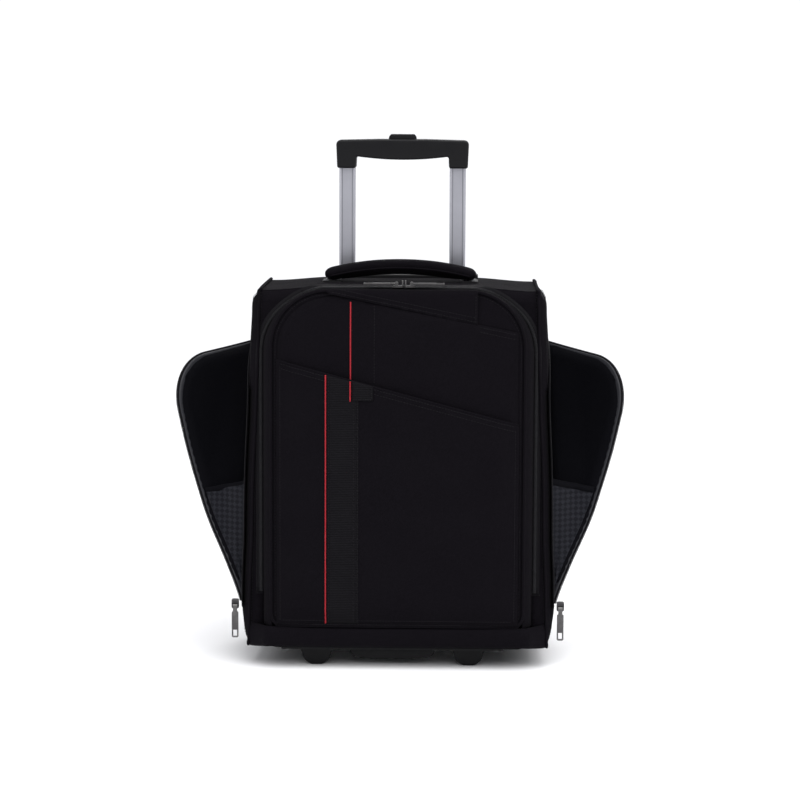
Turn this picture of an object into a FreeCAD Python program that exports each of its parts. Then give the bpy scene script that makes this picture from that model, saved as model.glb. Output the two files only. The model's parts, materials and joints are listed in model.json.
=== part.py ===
"""Pilot rolling flight case: a soft-sided cabin case on two wheels, as a parametric FreeCAD document.

Frame: +Z up, the front faces -Y, +X to the right as seen from the front. The origin is on the floor,
under the middle of the case. Millimetres. The telescopic handle stands at its first lock, both side
flaps are unzipped and the front lid is shut.
"""

import FreeCAD
import Part
import math
import os
import re

import Sketcher

Vector = FreeCAD.Vector
Rotation = FreeCAD.Rotation
Placement = FreeCAD.Placement

doc = FreeCAD.newDocument("flight_case")

# ---------------------------------------------------------------- driving dimensions

DIMENSIONS = {
    # shell
    "case_half": 178, "case_rear": 96, "case_low": 26, "case_top": 458, "taper_from": 250, "top_half": 166,
    "seam_front": -74, "skin": 3, "board": 4,
    # the sides bulge: they are widest at the flaps' lower end and lean in towards the top
    "bulge_half": 190, "shoulder_half": 181, "bulge_low": 62, "bulge_high": 386,
    # front face, its sewn edge and the main zip that runs round it
    "face_half": 147, "face_top": 452, "face_corner": 66, "face_front": -100,
    "rim_half": 162, "rim_top": 455, "rim_corner": 76, "rim_rear": -84,
    "zip_half": 165, "zip_corner": 80, "zip_band": 5, "zip_low": 91, "band_low": 29,
    "lid_low": 52, "lid_hinge_y": -104, "surround_front": -78,
    # pockets on the lid
    "pocket_half": 144, "pocket_low": 56, "pocket_left_top": 373, "pocket_right_top": 297,
    "pocket_gap": 7.5, "pocket_skin": 2, "layer": 1.6, "upper_left_top": 450, "upper_right_top": 407,
    "accent_x": -86, "accent_short_x": -57, "accent_band_end": -46, "cord_width": 1.8, "cord_rise": 1.5,
    # side flaps: the zip runs up the front edge and back along the top of a triangle
    "flap_front": -66, "flap_rear": 74, "flap_low": 76, "flap_high": 380, "flap_corner": 60,
    "flap_gap": 2, "fold_gap": 3.2, "flap_open": 51, "edging": 5, "gusset_top": 222,
    # shoe pouches behind the flaps
    "pouch_inner": 95, "pouch_low": 63, "pouch_high": 392, "pouch_rear": 88, "lining": 1.5,
    # telescopic handle
    "post_x": 68.4, "post_y": 80, "upper_wide": 20, "upper_deep": 13, "upper_wall": 1.2,
    "middle_wide": 23.4, "middle_deep": 16.4, "middle_wall": 1.4, "outer_wide": 27, "outer_deep": 20,
    "outer_wall": 1.5, "upper_low": 180, "upper_high": 606, "middle_low": 40, "middle_high": 464.5,
    "outer_low": 34, "lock_height": 190, "pin_radius": 2.5, "lock_pitch": 129,
    "grip_half": 82, "grip_top": 627, "grip_low": 594, "grip_deep": 28, "grip_leg": 24.5, "grip_bow": 604,
    "button_half": 18, "button_top": 636, "button_deep": 18,
    # zip sliders
    "zip_meet_x": 6.5, "zip_meet_half": 7, "side_slider_out": 6,
    # carry handle
    "carry_half": 88, "carry_low": 462, "carry_top": 483, "carry_under": 469, "carry_deep": 32,
    # wheels, feet
    "wheel_x": 125, "wheel_y": 83, "wheel_radius": 28, "wheel_width": 22, "hub_radius": 19,
    "axle_radius": 4, "housing_half": 22, "housing_front": 44, "housing_high": 62,
    # the feet are sewn on a little off the middle
    "skid_shift": -6, "skid_half": 134, "skid_low": 21, "skid_front": -84, "foot_x": 91.8, "foot_flat": 5.5,
}

sheet = doc.addObject("Spreadsheet::Sheet", "Dims")
for row, (alias, number) in enumerate(DIMENSIONS.items(), start=1):
    sheet.set(f"A{row}", alias)
    sheet.set(f"B{row}", str(number))
    sheet.setAlias(f"B{row}", alias)
doc.recompute()

ALIAS = re.compile(r"\b(" + "|".join(DIMENSIONS) + r")\b")


def cells(text):
    """The expression with every alias written as a reference to the sheet."""
    return ALIAS.sub(r"Dims.\1", str(text))


def value(text):
    """The number that an expression in the sheet's aliases has now."""
    return float(sheet.evalExpression(cells(text)))


# ---------------------------------------------------------------- ways of making a solid

parts = {}


def sub_part(label, made):
    """Names a finished object as one of the case's sub-parts."""
    made.Label = label
    parts[label] = made
    return made


def block(name, x, y, z):
    """A box between the pairs of expressions x, y and z."""
    made = doc.addObject("Part::Box", name)
    for size, axis, (low, high) in (("Length", "x", x), ("Width", "y", y), ("Height", "z", z)):
        made.setExpression(size, cells(f"({high}) - ({low})"))
        made.setExpression(f"Placement.Base.{axis}", cells(low))
    return made


def rod(name, radius, length, at, along):
    """A cylinder from the point at, whose three expressions are in at, along +X, +Y or +Z."""
    turn = {"x": Rotation(Vector(0, 1, 0), 90), "y": Rotation(Vector(1, 0, 0), -90), "z": Rotation()}
    made = doc.addObject("Part::Cylinder", name)
    made.setExpression("Radius", cells(radius))
    made.setExpression("Height", cells(length))
    made.Placement = Placement(Vector(), turn[along])
    for axis, text in zip("xyz", at):
        made.setExpression(f"Placement.Base.{axis}", cells(text))
    return made


def cut(name, base, *tools):
    """base with every tool taken away."""
    made = doc.addObject("Part::Cut", name)
    made.Base = base
    made.Tool = tools[0] if len(tools) == 1 else fuse(name + "_tools", *tools)
    return made


def fuse(name, *pieces):
    made = doc.addObject("Part::MultiFuse", name)
    made.Shapes = list(pieces)
    return made


def group(name, *pieces):
    """Separate solids that share a node."""
    made = doc.addObject("Part::Compound", name)
    made.Links = list(pieces)
    return made


def rounded(name, base, radius, wanted):
    """base with its edges rounded wherever wanted(edge) is true."""
    doc.recompute()
    made = doc.addObject("Part::Fillet", name)
    made.Base = base
    size = value(radius)
    made.Edges = [(i, size, size) for i, edge in enumerate(base.Shape.Edges, start=1) if wanted(edge)]
    return made


def runs_along(edge, axis):
    """True for a straight edge along that axis, 0 for X, 1 for Y and 2 for Z."""
    if len(edge.Vertexes) != 2:
        return False
    run = edge.Vertexes[1].Point - edge.Vertexes[0].Point
    return abs(run[axis]) > 0.999 * run.Length > 0


def sketch_on(body, plane, offset):
    """A sketch on one of the body's own origin planes, moved along its normal by offset."""
    made = body.newObject("Sketcher::SketchObject", body.Name + "_sketch")
    origin = next(f for f in body.Origin.OriginFeatures if f.Role == plane + "_Plane")
    made.AttachmentSupport = [(origin, "")]
    made.MapMode = "FlatFace"
    made.setExpression("AttachmentOffset.Base.z", cells(offset))
    return made


def pin_point(sketch, geometry, end, u, v):
    """Holds one end of a sketch's curve at the expressions u and v."""
    for kind, text in (("DistanceX", u), ("DistanceY", v)):
        number = sketch.addConstraint(Sketcher.Constraint(kind, -1, 1, geometry, end, value(text)))
        sketch.setExpression(f"Constraints[{number}]", cells(text))


def polygon(sketch, corners):
    """A closed polygon whose corners are pairs of expressions."""
    first = sketch.GeometryCount
    points = [Vector(value(u), value(v), 0) for u, v in corners]
    count = len(points)
    for i in range(count):
        sketch.addGeometry(Part.LineSegment(points[i], points[(i + 1) % count]), False)
    for i in range(count):
        following = first + (i + 1) % count
        sketch.addConstraint(Sketcher.Constraint("Coincident", first + i, 2, following, 1))
        pin_point(sketch, first + i, 1, *corners[i])


def arch(sketch, half, low, high, corner):
    """A closed outline with square feet and round shoulders: |u| <= half, low <= v <= high."""
    w, z0, z1, r = value(half), value(low), value(high), value(corner)
    first = sketch.GeometryCount
    for a, b in (((-w, z0), (w, z0)), ((w, z0), (w, z1 - r)), ((w - r, z1), (r - w, z1)), ((-w, z1 - r), (-w, z0))):
        sketch.addGeometry(Part.LineSegment(Vector(*a, 0), Vector(*b, 0)), False)
    for u, start in ((w - r, 0), (r - w, 90)):
        circle = Part.Circle(Vector(u, z1 - r, 0), Vector(0, 0, 1), r)
        shoulder = Part.ArcOfCircle(circle, math.radians(start), math.radians(start + 90))
        sketch.addGeometry(shoulder, False)
    foot, right, top, left, right_arc, left_arc = range(first, first + 6)
    for pair in ((foot, 2, right, 1), (left, 2, foot, 1)):
        sketch.addConstraint(Sketcher.Constraint("Coincident", *pair))
    for pair in ((right, 2, right_arc, 1), (right_arc, 2, top, 1), (top, 2, left_arc, 1), (left_arc, 2, left, 1)):
        sketch.addConstraint(Sketcher.Constraint("Tangent", *pair))
    sketch.addConstraint(Sketcher.Constraint("Horizontal", top))
    sketch.addConstraint(Sketcher.Constraint("Equal", right_arc, left_arc))
    pin_point(sketch, foot, 1, f"-({half})", low)
    pin_point(sketch, foot, 2, half, low)
    for kind, target, text in (("Radius", (right_arc,), corner), ("DistanceY", (-1, 1, top, 1), high)):
        number = sketch.addConstraint(Sketcher.Constraint(kind, *target, value(text)))
        sketch.setExpression(f"Constraints[{number}]", cells(text))
    sketch.addConstraint(Sketcher.Constraint("Vertical", right))
    sketch.addConstraint(Sketcher.Constraint("Vertical", left))


def new_body(label):
    return sub_part(label, doc.addObject("PartDesign::Body", label))


def within(body):
    """Takes a body off the list of sub-parts, because it goes into another one."""
    del parts[body.Label]
    return body


def pad(body, sketch, length):
    made = body.newObject("PartDesign::Pad", body.Name + "_pad")
    made.Profile = sketch
    made.setExpression("Length", cells(length))
    sketch.Visibility = False
    return made


def pocket(body, sketch):
    """Cuts the sketch right through the body, both ways."""
    made = body.newObject("PartDesign::Pocket", body.Name + "_pocket")
    made.Profile = sketch
    made.Type = "ThroughAll"
    made.Midplane = True
    sketch.Visibility = False
    return made


def slab(label, plane, low, high, corners, holes=()):
    """A flat plate: a polygon padded from low to high along the plane's axis, with polygons cut out."""
    body = new_body(label)
    # The XZ plane's normal points to -Y, so its offset is measured the other way.
    offset = f"-({high})" if plane == "XZ" else low
    outline = sketch_on(body, plane, offset)
    polygon(outline, corners)
    pad(body, outline, f"({high}) - ({low})")
    for hole in holes:
        opening = sketch_on(body, plane, offset)
        polygon(opening, hole)
        doc.recompute()
        pocket(body, opening)
    return body


def arch_ring(label, low, high, outer, inner):
    """A flat ring between two arches, from y = low to y = high. The inner arch reaches below the outer."""
    body = new_body(label)
    outline = sketch_on(body, "XZ", f"-({high})")
    arch(outline, *outer)
    pad(body, outline, f"({high}) - ({low})")
    opening = sketch_on(body, "XZ", f"-({high})")
    arch(opening, *inner)
    doc.recompute()
    pocket(body, opening)
    return body


def rectangle(u0, u1, v0, v1):
    return [(u0, v0), (u1, v0), (u1, v1), (u0, v1)]


SIDES = (("left", -1), ("right", 1))

SIDE_LEAN = "(bulge_half - shoulder_half)/(flap_high - flap_low)"


def side_x(z):
    """Distance of a side's outer face from the middle plane at height z, between its two kinks."""
    return f"(shoulder_half + (flap_high - ({z}))*{SIDE_LEAN})"


def side_profile(foot="case_low"):
    """The right side's outer face from its foot up: out to the bulge, and in towards the top."""
    return [("case_half", foot), (side_x("bulge_low"), "bulge_low"), (side_x("bulge_high"), "bulge_high"),
            ("top_half", "case_top")]


def both_sides(right_half):
    """A closed outline from its right half, which runs from the lowest point up to the highest."""
    return [(f"-({u})", v) for u, v in right_half] + list(reversed(right_half))


def outward(side, near, far):
    """The pair of X expressions, low first, of something between near and far on one side."""
    return (near, far) if side > 0 else (f"-({far})", f"-({near})")


# ---------------------------------------------------------------- shell


def make_shell():
    wheel_in, wheel_out = "wheel_x - housing_half", "wheel_x + housing_half"
    slab("back_panel", "XZ", "case_rear - board", "case_rear", both_sides([
        (wheel_in, "case_low"), (wheel_in, "housing_high"), (wheel_out, "housing_high"),
        (wheel_out, "case_low")] + side_profile()))
    rear = "case_rear - board"
    slab("bottom_board", "XY", "case_low", "case_low + board", [
        ("3 + skin - case_half + 1", "seam_front + 1"), ("2.5 - face_half", "face_front + 3.5"),
        ("face_half - 2.5", "face_front + 3.5"), ("case_half - skin - 4", "seam_front + 1"),
        ("case_half - skin", "seam_front + 3"), ("case_half - skin", rear), (wheel_out, rear),
        (wheel_out, "housing_front"), (wheel_in, "housing_front"), (wheel_in, rear),
        (f"-({wheel_in})", rear), (f"-({wheel_in})", "housing_front"),
        (f"-({wheel_out})", "housing_front"), (f"-({wheel_out})", rear),
        ("skin - case_half", rear), ("skin - case_half", "seam_front + 3")])
    slab("front_lower_band", "XY", "band_low", "lid_low - 0.5", [
        ("-case_half", "seam_front"), ("-face_half", "face_front"), ("face_half", "face_front"),
        ("case_half", "seam_front"), ("case_half - skin", "seam_front"),
        ("face_half - 1.5", "face_front + skin"), ("1.5 - face_half", "face_front + skin"),
        ("skin - case_half", "seam_front")])
    middle_slot_x, middle_slot_y = "middle_wide/2 + 0.5", "middle_deep/2 + 0.5"
    holes = []
    for _, side in SIDES:
        holes.append(rectangle(f"{side}*post_x - ({middle_slot_x})", f"{side}*post_x + {middle_slot_x}",
                               f"post_y - ({middle_slot_y})", f"post_y + {middle_slot_y}"))
        low, high = outward(side, "carry_half - 11", "carry_half - 6")
        holes.append(rectangle(low, high, "2 - carry_deep/2", "carry_deep/2 - 2"))
    slab("top_panel", "XY", "case_top - skin", "case_top",
         rectangle("skin - top_half", "top_half - skin", "seam_front", rear), holes)
    for name, side in SIDES:
        make_side_panel(name, side)
    loops = []
    for name, side in SIDES:
        outline = [("case_half - 1.5", "case_low - 3.5"), ("case_half + 2", "case_low - 3.5"),
                   ("case_half + 2", "taper_from"), ("top_half + 2", "case_top + 3.5"),
                   ("top_half - 1.5", "case_top + 3.5"), ("case_half - 1.5", "taper_from")]
        cord = within(slab(name + "_piping", "XZ", "surround_front - 3.5", "case_rear + 3.5",
                           [(f"{side}*({u})", v) for u, v in outline]))
        middle = block(name + "_piping_inside", outward(side, "top_half - 10", "case_half + 10"),
                       ("surround_front", "case_rear"), ("case_low", "case_top"))
        loops.append(cut(name + "_piping_loop", cord, middle))
    sub_part("side_piping", group("side_piping", *loops))


def make_side_panel(name, side):
    """A side wall with the opening that its flap covers: a triangle with a round front top corner."""
    profile = side_profile() + [(f"{u} - skin", v) for u, v in reversed(side_profile())]
    panel = slab(name + "_side_panel", "XZ", "seam_front", "case_rear - board",
                 [(f"{side}*({u})", v) for u, v in profile])
    opening = sketch_on(panel, "YZ", "0")
    polygon(opening, flap_triangle("-flap_gap", "-fold_gap"))
    doc.recompute()
    hole = pocket(panel, opening)
    if side < 0:
        hole.Midplane = False
        hole.Reversed = False
    else:
        hole.Midplane = False
        hole.Reversed = True
    round_corner(panel, hole, "flap_corner + flap_gap", "flap_front - flap_gap", "flap_high + flap_gap")


def flap_triangle(inset, fold_inset):
    """The flap's three corners in Y and Z, moved in by inset at the zip and by fold_inset at the fold."""
    rise, back = "(flap_high - flap_low)", "(flap_rear - flap_front)"
    length = f"sqrt({rise}*{rise} + {back}*{back})"
    front, top = f"(flap_front + ({inset}))", f"(flap_high - ({inset}))"
    # The fold line leans back; moved by fold_inset it still runs parallel to itself.
    shift_up = f"(({fold_inset})*{length}/{back})"
    foot = (front, f"flap_low + ({front} - flap_front)*{rise}/{back} + {shift_up}")
    head = (f"flap_rear - (flap_high - {top})*{back}/{rise} - ({fold_inset})*{length}/{rise}", top)
    return [foot, (front, top), head]


def round_corner(body, feature, radius, y, z):
    """Rounds the edges of a side plate that run along X through the point y, z."""
    doc.recompute()
    target = Vector(0, value(y), value(z))
    names = []
    for i, edge in enumerate(feature.Shape.Edges, start=1):
        middle = edge.CenterOfMass
        if runs_along(edge, 0) and math.hypot(middle.y - target.y, middle.z - target.z) < 0.1:
            names.append(f"Edge{i}")
    made = body.newObject("PartDesign::Fillet", body.Name + "_fillet")
    made.Base = (feature, names)
    made.setExpression("Radius", cells(radius))
    body.Tip = made
    return made


def make_front_surround():
    """The sewn frame round the main opening, the zip on it and the spring wire that keeps it square."""
    body = slab("front_surround", "XZ", "surround_front", "seam_front",
                both_sides([("case_half", "lid_low")] + side_profile("band_low")))
    opening = sketch_on(body, "XZ", "-seam_front")
    arch(opening, "zip_half - zip_band", "lid_low - 10", "case_top - zip_band", "zip_corner - zip_band")
    doc.recompute()
    pocket(body, opening)
    arch_ring("main_zip", "rim_rear + 0.3", "surround_front", ("zip_half", "zip_low", "case_top", "zip_corner"),
              ("zip_half - zip_band", "zip_low - 5", "case_top - zip_band", "zip_corner - zip_band"))
    arch_ring("opening_wire_frame", "seam_front", "seam_front + 3.5",
              ("top_half - skin - 1", "case_low + board", "case_top - skin - 0.5", "14"),
              ("top_half - skin - 4", "case_low + board - 3", "case_top - skin - 3.5", "11"))


def make_linings():
    sub_part("tube_cover_lining", block("tube_cover_lining", ("4 - pouch_inner", "pouch_inner - 4"),
                                        ("post_y - outer_deep/2 - 5", "post_y - outer_deep/2 - 3"),
                                        ("case_low + board", "case_top - skin")))
    pouches = []
    for name, side in SIDES:
        profile = [("pouch_inner", "pouch_low"), (side_x("pouch_low") + " - skin", "pouch_low"),
                   (side_x("bulge_high") + " - skin", "bulge_high"),
                   (side_x("bulge_high") + " - skin - 2", "pouch_high"), ("pouch_inner", "pouch_high")]
        outer = within(slab(name + "_pouch_outer", "XZ", "flap_front - flap_gap - lining", "pouch_rear",
                            [(f"{side}*({u})", v) for u, v in profile]))
        near, far = outward(side, "pouch_inner + lining", "bulge_half + 5")
        inner = block(name + "_pouch_inner", (near, far), ("flap_front - flap_gap", "pouch_rear - lining"),
                      ("pouch_low + lining", "pouch_high - lining"))
        pouches.append(cut(name + "_pouch", outer, inner))
    sub_part("shoe_pouches", group("shoe_pouches", *pouches))


# ---------------------------------------------------------------- lid and its pockets


def make_lid():
    face = new_body("lid_panel")
    outline = sketch_on(face, "XZ", "-(face_front + skin)")
    arch(outline, "face_half", "lid_low", "face_top", "face_corner")
    pad(face, outline, "skin")

    rim = new_body("lid_rim_band")
    for kind, inset in (("PartDesign::AdditiveLoft", "0"), ("PartDesign::SubtractiveLoft", "skin")):
        front = sketch_on(rim, "XZ", "-(face_front + skin)")
        arch(front, f"face_half - {inset}", f"lid_low + {inset}", f"face_top - {inset}", f"face_corner - {inset}")
        rear = sketch_on(rim, "XZ", "-rim_rear")
        arch(rear, f"rim_half - {inset}", f"lid_low + {inset}", f"rim_top - {inset}", f"rim_corner - {inset}")
        doc.recompute()
        loft = rim.newObject(kind, rim.Name + "_loft")
        loft.Profile = front
        loft.Sections = [rear]
        loft.Ruled = True

    arch_ring("lid_piping", "face_front - 2.5", "face_front",
              ("face_half + 1.5", "lid_low", "face_top + 1.5", "face_corner + 1.5"),
              ("face_half - 1.5", "lid_low - 5", "face_top - 1.5", "face_corner - 1.5"))
    slab("upper_pocket_panel", "XZ", "face_front - layer", "face_front", [
        ("2 - pocket_half", "pocket_low"), ("pocket_half - 2", "pocket_low"), ("pocket_half - 2", "upper_right_top"),
        ("face_corner - face_half + 10", "upper_left_top"), ("face_corner - face_half - 30", "upper_left_top - 8"),
        ("2 - pocket_half", "face_top - face_corner")])

    slope = "(pocket_right_top - pocket_left_top)/(2*pocket_half)"
    wall = "3.5"
    inner_left = f"pocket_left_top + {wall}*{slope}"
    inner_right = f"pocket_right_top - {wall}*{slope}"
    slab("front_pocket_gusset", "XZ", "face_front - pocket_gap", "face_front - layer", [
        ("-pocket_half", "pocket_low"), ("pocket_half", "pocket_low"), ("pocket_half", "pocket_right_top"),
        (f"pocket_half - {wall}", inner_right), (f"pocket_half - {wall}", f"pocket_low + {wall}"),
        (f"{wall} - pocket_half", f"pocket_low + {wall}"), (f"{wall} - pocket_half", inner_left),
        ("-pocket_half", "pocket_left_top")])
    front = "face_front - pocket_gap - pocket_skin"
    slab("front_pocket_panel", "XZ", front, "face_front - pocket_gap", [
        ("-pocket_half", "pocket_low"), ("pocket_half", "pocket_low"), ("pocket_half", "pocket_right_top"),
        ("-pocket_half", "pocket_left_top")])

    def mouth(x):
        """Height of the slanted pocket mouth at x."""
        return f"pocket_left_top + (({x}) + pocket_half)*{slope}"

    band_left, band_right = "accent_x + cord_width", "accent_band_end"
    slab("accent_band", "XZ", f"{front} - 0.8", front, [
        (band_left, "pocket_low + 1"), (band_right, "pocket_low + 1"),
        (band_right, mouth(band_right) + " - 1"), (band_left, mouth(band_left) + " - 1")])
    long_cord = block("accent_long", ("accent_x", "accent_x + cord_width"), (f"{front} - cord_rise", front),
                      ("pocket_low + 1", mouth("accent_x") + " - 2"))
    short_cord = block("accent_short", ("accent_short_x", "accent_short_x + cord_width"),
                       (f"{front} - cord_rise", f"{front} - 0.8"),
                       (mouth("accent_short_x") + " - 26", mouth("accent_short_x") + " - 3"))
    high_cord = block("accent_high", ("accent_short_x", "accent_short_x + cord_width"),
                      ("face_front - layer - cord_rise", "face_front - layer"),
                      (mouth("accent_short_x") + " + 1", "upper_left_top - 13"))
    sub_part("accent_piping", group("accent_piping", long_cord, short_cord, high_cord))


# ---------------------------------------------------------------- side flaps


def side_tilt(side):
    """Carries something flat at x = +-shoulder_half into the plane of the leaning side."""
    lean = math.degrees(math.atan(value(SIDE_LEAN)))
    pivot = Vector(side * value("shoulder_half"), 0, value("flap_high"))
    return Placement(Vector(), Rotation(Vector(0, -side, 0), lean), pivot)


def flap_turn(side):
    """The rotation about the fold line that carries a shut flap to where it stands open."""
    tilt = side_tilt(side)
    x = side * value("shoulder_half - skin/2")
    foot = tilt.multVec(Vector(x, value("flap_front"), value("flap_low")))
    head = tilt.multVec(Vector(x, value("flap_rear"), value("flap_high")))
    # By the right-hand rule about the line from foot to head, the front corner swings outward.
    turn = Placement(Vector(), Rotation(head - foot, side * value("flap_open")), foot)
    return turn.multiply(tilt)


def make_flap(name, side):
    low, high = outward(side, "shoulder_half - skin", "shoulder_half")
    panel = slab(name + "_flap_panel", "YZ", low, high, flap_triangle("0", "fold_gap"))
    round_corner(panel, panel.Tip, "flap_corner", "flap_front", "flap_high")
    panel.Placement = flap_turn(side)

    low, high = outward(side, "shoulder_half", "shoulder_half + 2.5")
    edging = slab(name + "_flap_edging", "YZ", low, high, flap_triangle("0", "fold_gap"))
    inside = sketch_on(edging, "YZ", low)
    polygon(inside, flap_triangle("edging", "-30"))
    doc.recompute()
    hole = pocket(edging, inside)
    hole = round_corner(edging, hole, "flap_corner - edging", "flap_front + edging", "flap_high - edging")
    round_corner(edging, hole, "flap_corner", "flap_front", "flap_high")
    edging.Placement = flap_turn(side)

    # The gusset: a triangle of lining from the case's front seam to the flap's front edge.
    tilt, turn = side_tilt(side), flap_turn(side)
    front, top = value("flap_front"), value("gusset_top")
    seam_x, inner_x = side * (value("shoulder_half") + 2.2), side * (value("shoulder_half - skin") - 2)
    corners = [tilt.multVec(Vector(seam_x, front + 4, value("flap_low") + 26)),
               tilt.multVec(Vector(seam_x, front, top)), turn.multVec(Vector(inner_x, front + 3, top - 4))]
    triangle = Part.Face(Part.makePolygon(corners + corners[:1]))
    normal = triangle.normalAt(0, 0)
    normal = normal if normal.y > 0 else normal * -1
    gusset = doc.addObject("Part::Feature", name + "_flap_gusset")
    gusset.Shape = triangle.extrude(normal * 1.2)
    sub_part(name + "_flap_gusset", gusset)


def make_side_zips():
    """The case's half of each side zip, stitched round the opening."""
    tapes = []
    for name, side in SIDES:
        low, high = outward(side, "shoulder_half", "shoulder_half + 1.5")
        tape = slab(name + "_side_zip_tape", "YZ", low, high, flap_triangle("-flap_gap - 3", "2"))
        inside = sketch_on(tape, "YZ", low)
        polygon(inside, flap_triangle("-flap_gap", "-30"))
        doc.recompute()
        hole = pocket(tape, inside)
        hole = round_corner(tape, hole, "flap_corner + flap_gap", "flap_front - flap_gap", "flap_high + flap_gap")
        round_corner(tape, hole, "flap_corner + flap_gap + 3", "flap_front - flap_gap - 3",
                     "flap_high + flap_gap + 3")
        tape.Placement = side_tilt(side)
        tapes.append(within(tape))
    sub_part("side_zip_tapes", group("side_zip_tapes", *tapes))


# ---------------------------------------------------------------- zip sliders and pulls


def slider_at(label, where, eyelet):
    """A zip slider. In its own frame the zip runs along X, outward is +Z and the pull hinges on Y."""
    plate = block(label + "_plate", ("-6", "6"), ("-4.5", "4.5"), ("0.3", "2.6"))
    plate = rounded(label + "_round", plate, "2", lambda edge: runs_along(edge, 2))
    pieces = [plate]
    for number, y in enumerate((("-4.2", "-3"), ("3", "4.2"))):
        pieces.append(block(f"{label}_ear_{number}", ("0.2", "3.8"), y, ("2.6", "6.2")))
    pieces.append(rod(label + "_pin", "0.9", "8", ("2", "-4", "4.9"), "y"))
    if eyelet:
        tab = block(label + "_tab", ("-6", "-4.4"), ("-2.6", "2.6"), ("2.6", "8.6"))
        hole = rod(label + "_eye", "1.6", "4", ("-7", "0", "5.8"), "x")
        pieces.append(cut(label + "_eyelet", tab, hole))
    made = fuse(label, *pieces)
    made.Placement = where
    return sub_part(label, made)


def pull_at(label, where):
    """A pull tab that hangs on its slider's pin, in the slider's frame."""
    eye = rod(label + "_eye", "2.1", "5", ("2", "-2.5", "4.9"), "y")
    neck = block(label + "_neck", ("2.6", "10"), ("-2.5", "2.5"), ("4.1", "5.7"))
    tab = block(label + "_tab", ("9", "41"), ("-4", "4"), ("4.1", "5.7"))
    tab = rounded(label + "_round", tab, "1.8", lambda edge: runs_along(edge, 2))
    bore = rod(label + "_bore", "1.15", "7", ("2", "-3.5", "4.9"), "y")
    window = block(label + "_window", ("31.6", "39.2"), ("-2.3", "2.3"), ("3", "7"))
    made = cut(label, fuse(label + "_solid", eye, neck, tab), bore, window)
    made.Placement = where
    return sub_part(label, made)


def make_zip_pulls():
    for name, side in SIDES:
        x = value("zip_meet_x") + side * value("zip_meet_half")
        top = Placement(Vector(x, value("(rim_rear + surround_front)/2"), value("case_top")),
                        Rotation(Vector(0, 0, 1), 0 if side > 0 else 180))
        slider_at("main_zip_slider_" + name, top, True)
        pull_at("main_zip_pull_" + name, top)
        # A side slider has come down to the foot of its zip: it faces forward and its pull hangs.
        hanging = Rotation(FreeCAD.Matrix(0, 1, 0, 0, 0, 0, -1, 0, -1, 0, 0, 0, 0, 0, 0, 1))
        foot = Vector(side * value("bulge_half + side_slider_out"),
                      value("flap_front - flap_gap - 3"), value("flap_low - 2"))
        down = Placement(foot, hanging)
        slider_at(name + "_side_zip_slider", down, False)
        pull_at(name + "_side_zip_pull", down)


# ---------------------------------------------------------------- telescopic handle


def tube(name, side, wide, deep, wall, low, high):
    x, y = f"{side}*post_x", "post_y"
    outer = block(name + "_outer", (f"{x} - {wide}/2", f"{x} + {wide}/2"), (f"{y} - {deep}/2", f"{y} + {deep}/2"),
                  (low, high))
    outer = rounded(name + "_round", outer, "2.5", lambda edge: runs_along(edge, 2))
    inner = block(name + "_inner", (f"{x} - {wide}/2 + {wall}", f"{x} + {wide}/2 - {wall}"),
                  (f"{y} - {deep}/2 + {wall}", f"{y} + {deep}/2 - {wall}"), (f"{low} - 5", f"{high} + 5"))
    inner = rounded(name + "_inner_round", inner, "1.2", lambda edge: runs_along(edge, 2))
    return outer, inner


def make_posts():
    outer_tubes, middle_tubes, upper_tubes, guides, pin_nodes = [], [], [], [], []
    for name, side in SIDES:
        outer, inner = tube(name + "_outer_tube", side, "outer_wide", "outer_deep", "outer_wall",
                            "outer_low", "case_top - skin - 0.5")
        outer_tubes.append(cut(name + "_outer_tube", outer, inner))

        outer, inner = tube(name + "_middle_tube", side, "middle_wide", "middle_deep", "middle_wall",
                            "middle_low", "middle_high")
        wall_x = outward(side, "post_x + upper_wide/2", "post_x + outer_wide/2")[0]
        lock_holes = [rod(f"{name}_lock_hole_{n}", "pin_radius + 0.2", "3.5",
                          (wall_x, "post_y", f"lock_height + {n}*lock_pitch"), "x") for n in (-1, 0, 1)]
        middle_tubes.append(cut(name + "_middle_tube", outer, inner, *lock_holes))

        outer, inner = tube(name + "_upper_tube", side, "upper_wide", "upper_deep", "upper_wall",
                            "upper_low", "upper_high")
        near = outward(side, "post_x + upper_wide/2 - 3", "post_x + upper_wide/2 + 2")[0]
        pin_hole = rod(name + "_pin_hole", "pin_radius + 0.2", "5", (near, "post_y", "lock_height"), "x")
        upper_tubes.append(cut(name + "_upper_tube", outer, inner, pin_hole))

        x = f"{side}*post_x"
        core = block(name + "_guide_core", (f"{x} - upper_wide/2 + upper_wall + 0.1", f"{x} + upper_wide/2 - upper_wall - 0.1"),
                     ("post_y - upper_deep/2 + upper_wall + 0.1", "post_y + upper_deep/2 - upper_wall - 0.1"),
                     ("upper_low", "upper_low + 28"))
        core = rounded(name + "_guide_round", core, "1.3", lambda edge: runs_along(edge, 2))
        pin_bore_from = outward(side, "post_x - 4.2", "post_x + 12")[0]
        pin_bore = rod(name + "_pin_bore", "pin_radius + 0.06", "16.2", (pin_bore_from, "post_y", "lock_height"), "x")
        rod_bore = rod(name + "_rod_bore", "2.1", "20", (x, "post_y", "lock_height + 1"), "z")
        guides.append(cut(name + "_guide", core, pin_bore, rod_bore))

        pin_from = outward(side, "post_x + 0.5", "post_x + upper_wide/2")[0]
        pin = rod(name + "_lock_pin", "pin_radius", "upper_wide/2 - 0.5", (pin_from, "post_y", "lock_height"), "x")
        pin_nodes.append(sub_part(name + "_lock_pin", pin))
    sub_part("outer_tubes", group("outer_tubes", *outer_tubes))
    sub_part("middle_tubes", group("middle_tubes", *middle_tubes))
    sub_part("upper_tubes", group("upper_tubes", *upper_tubes))
    sub_part("upper_tube_guides", group("upper_tube_guides", *guides))


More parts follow.
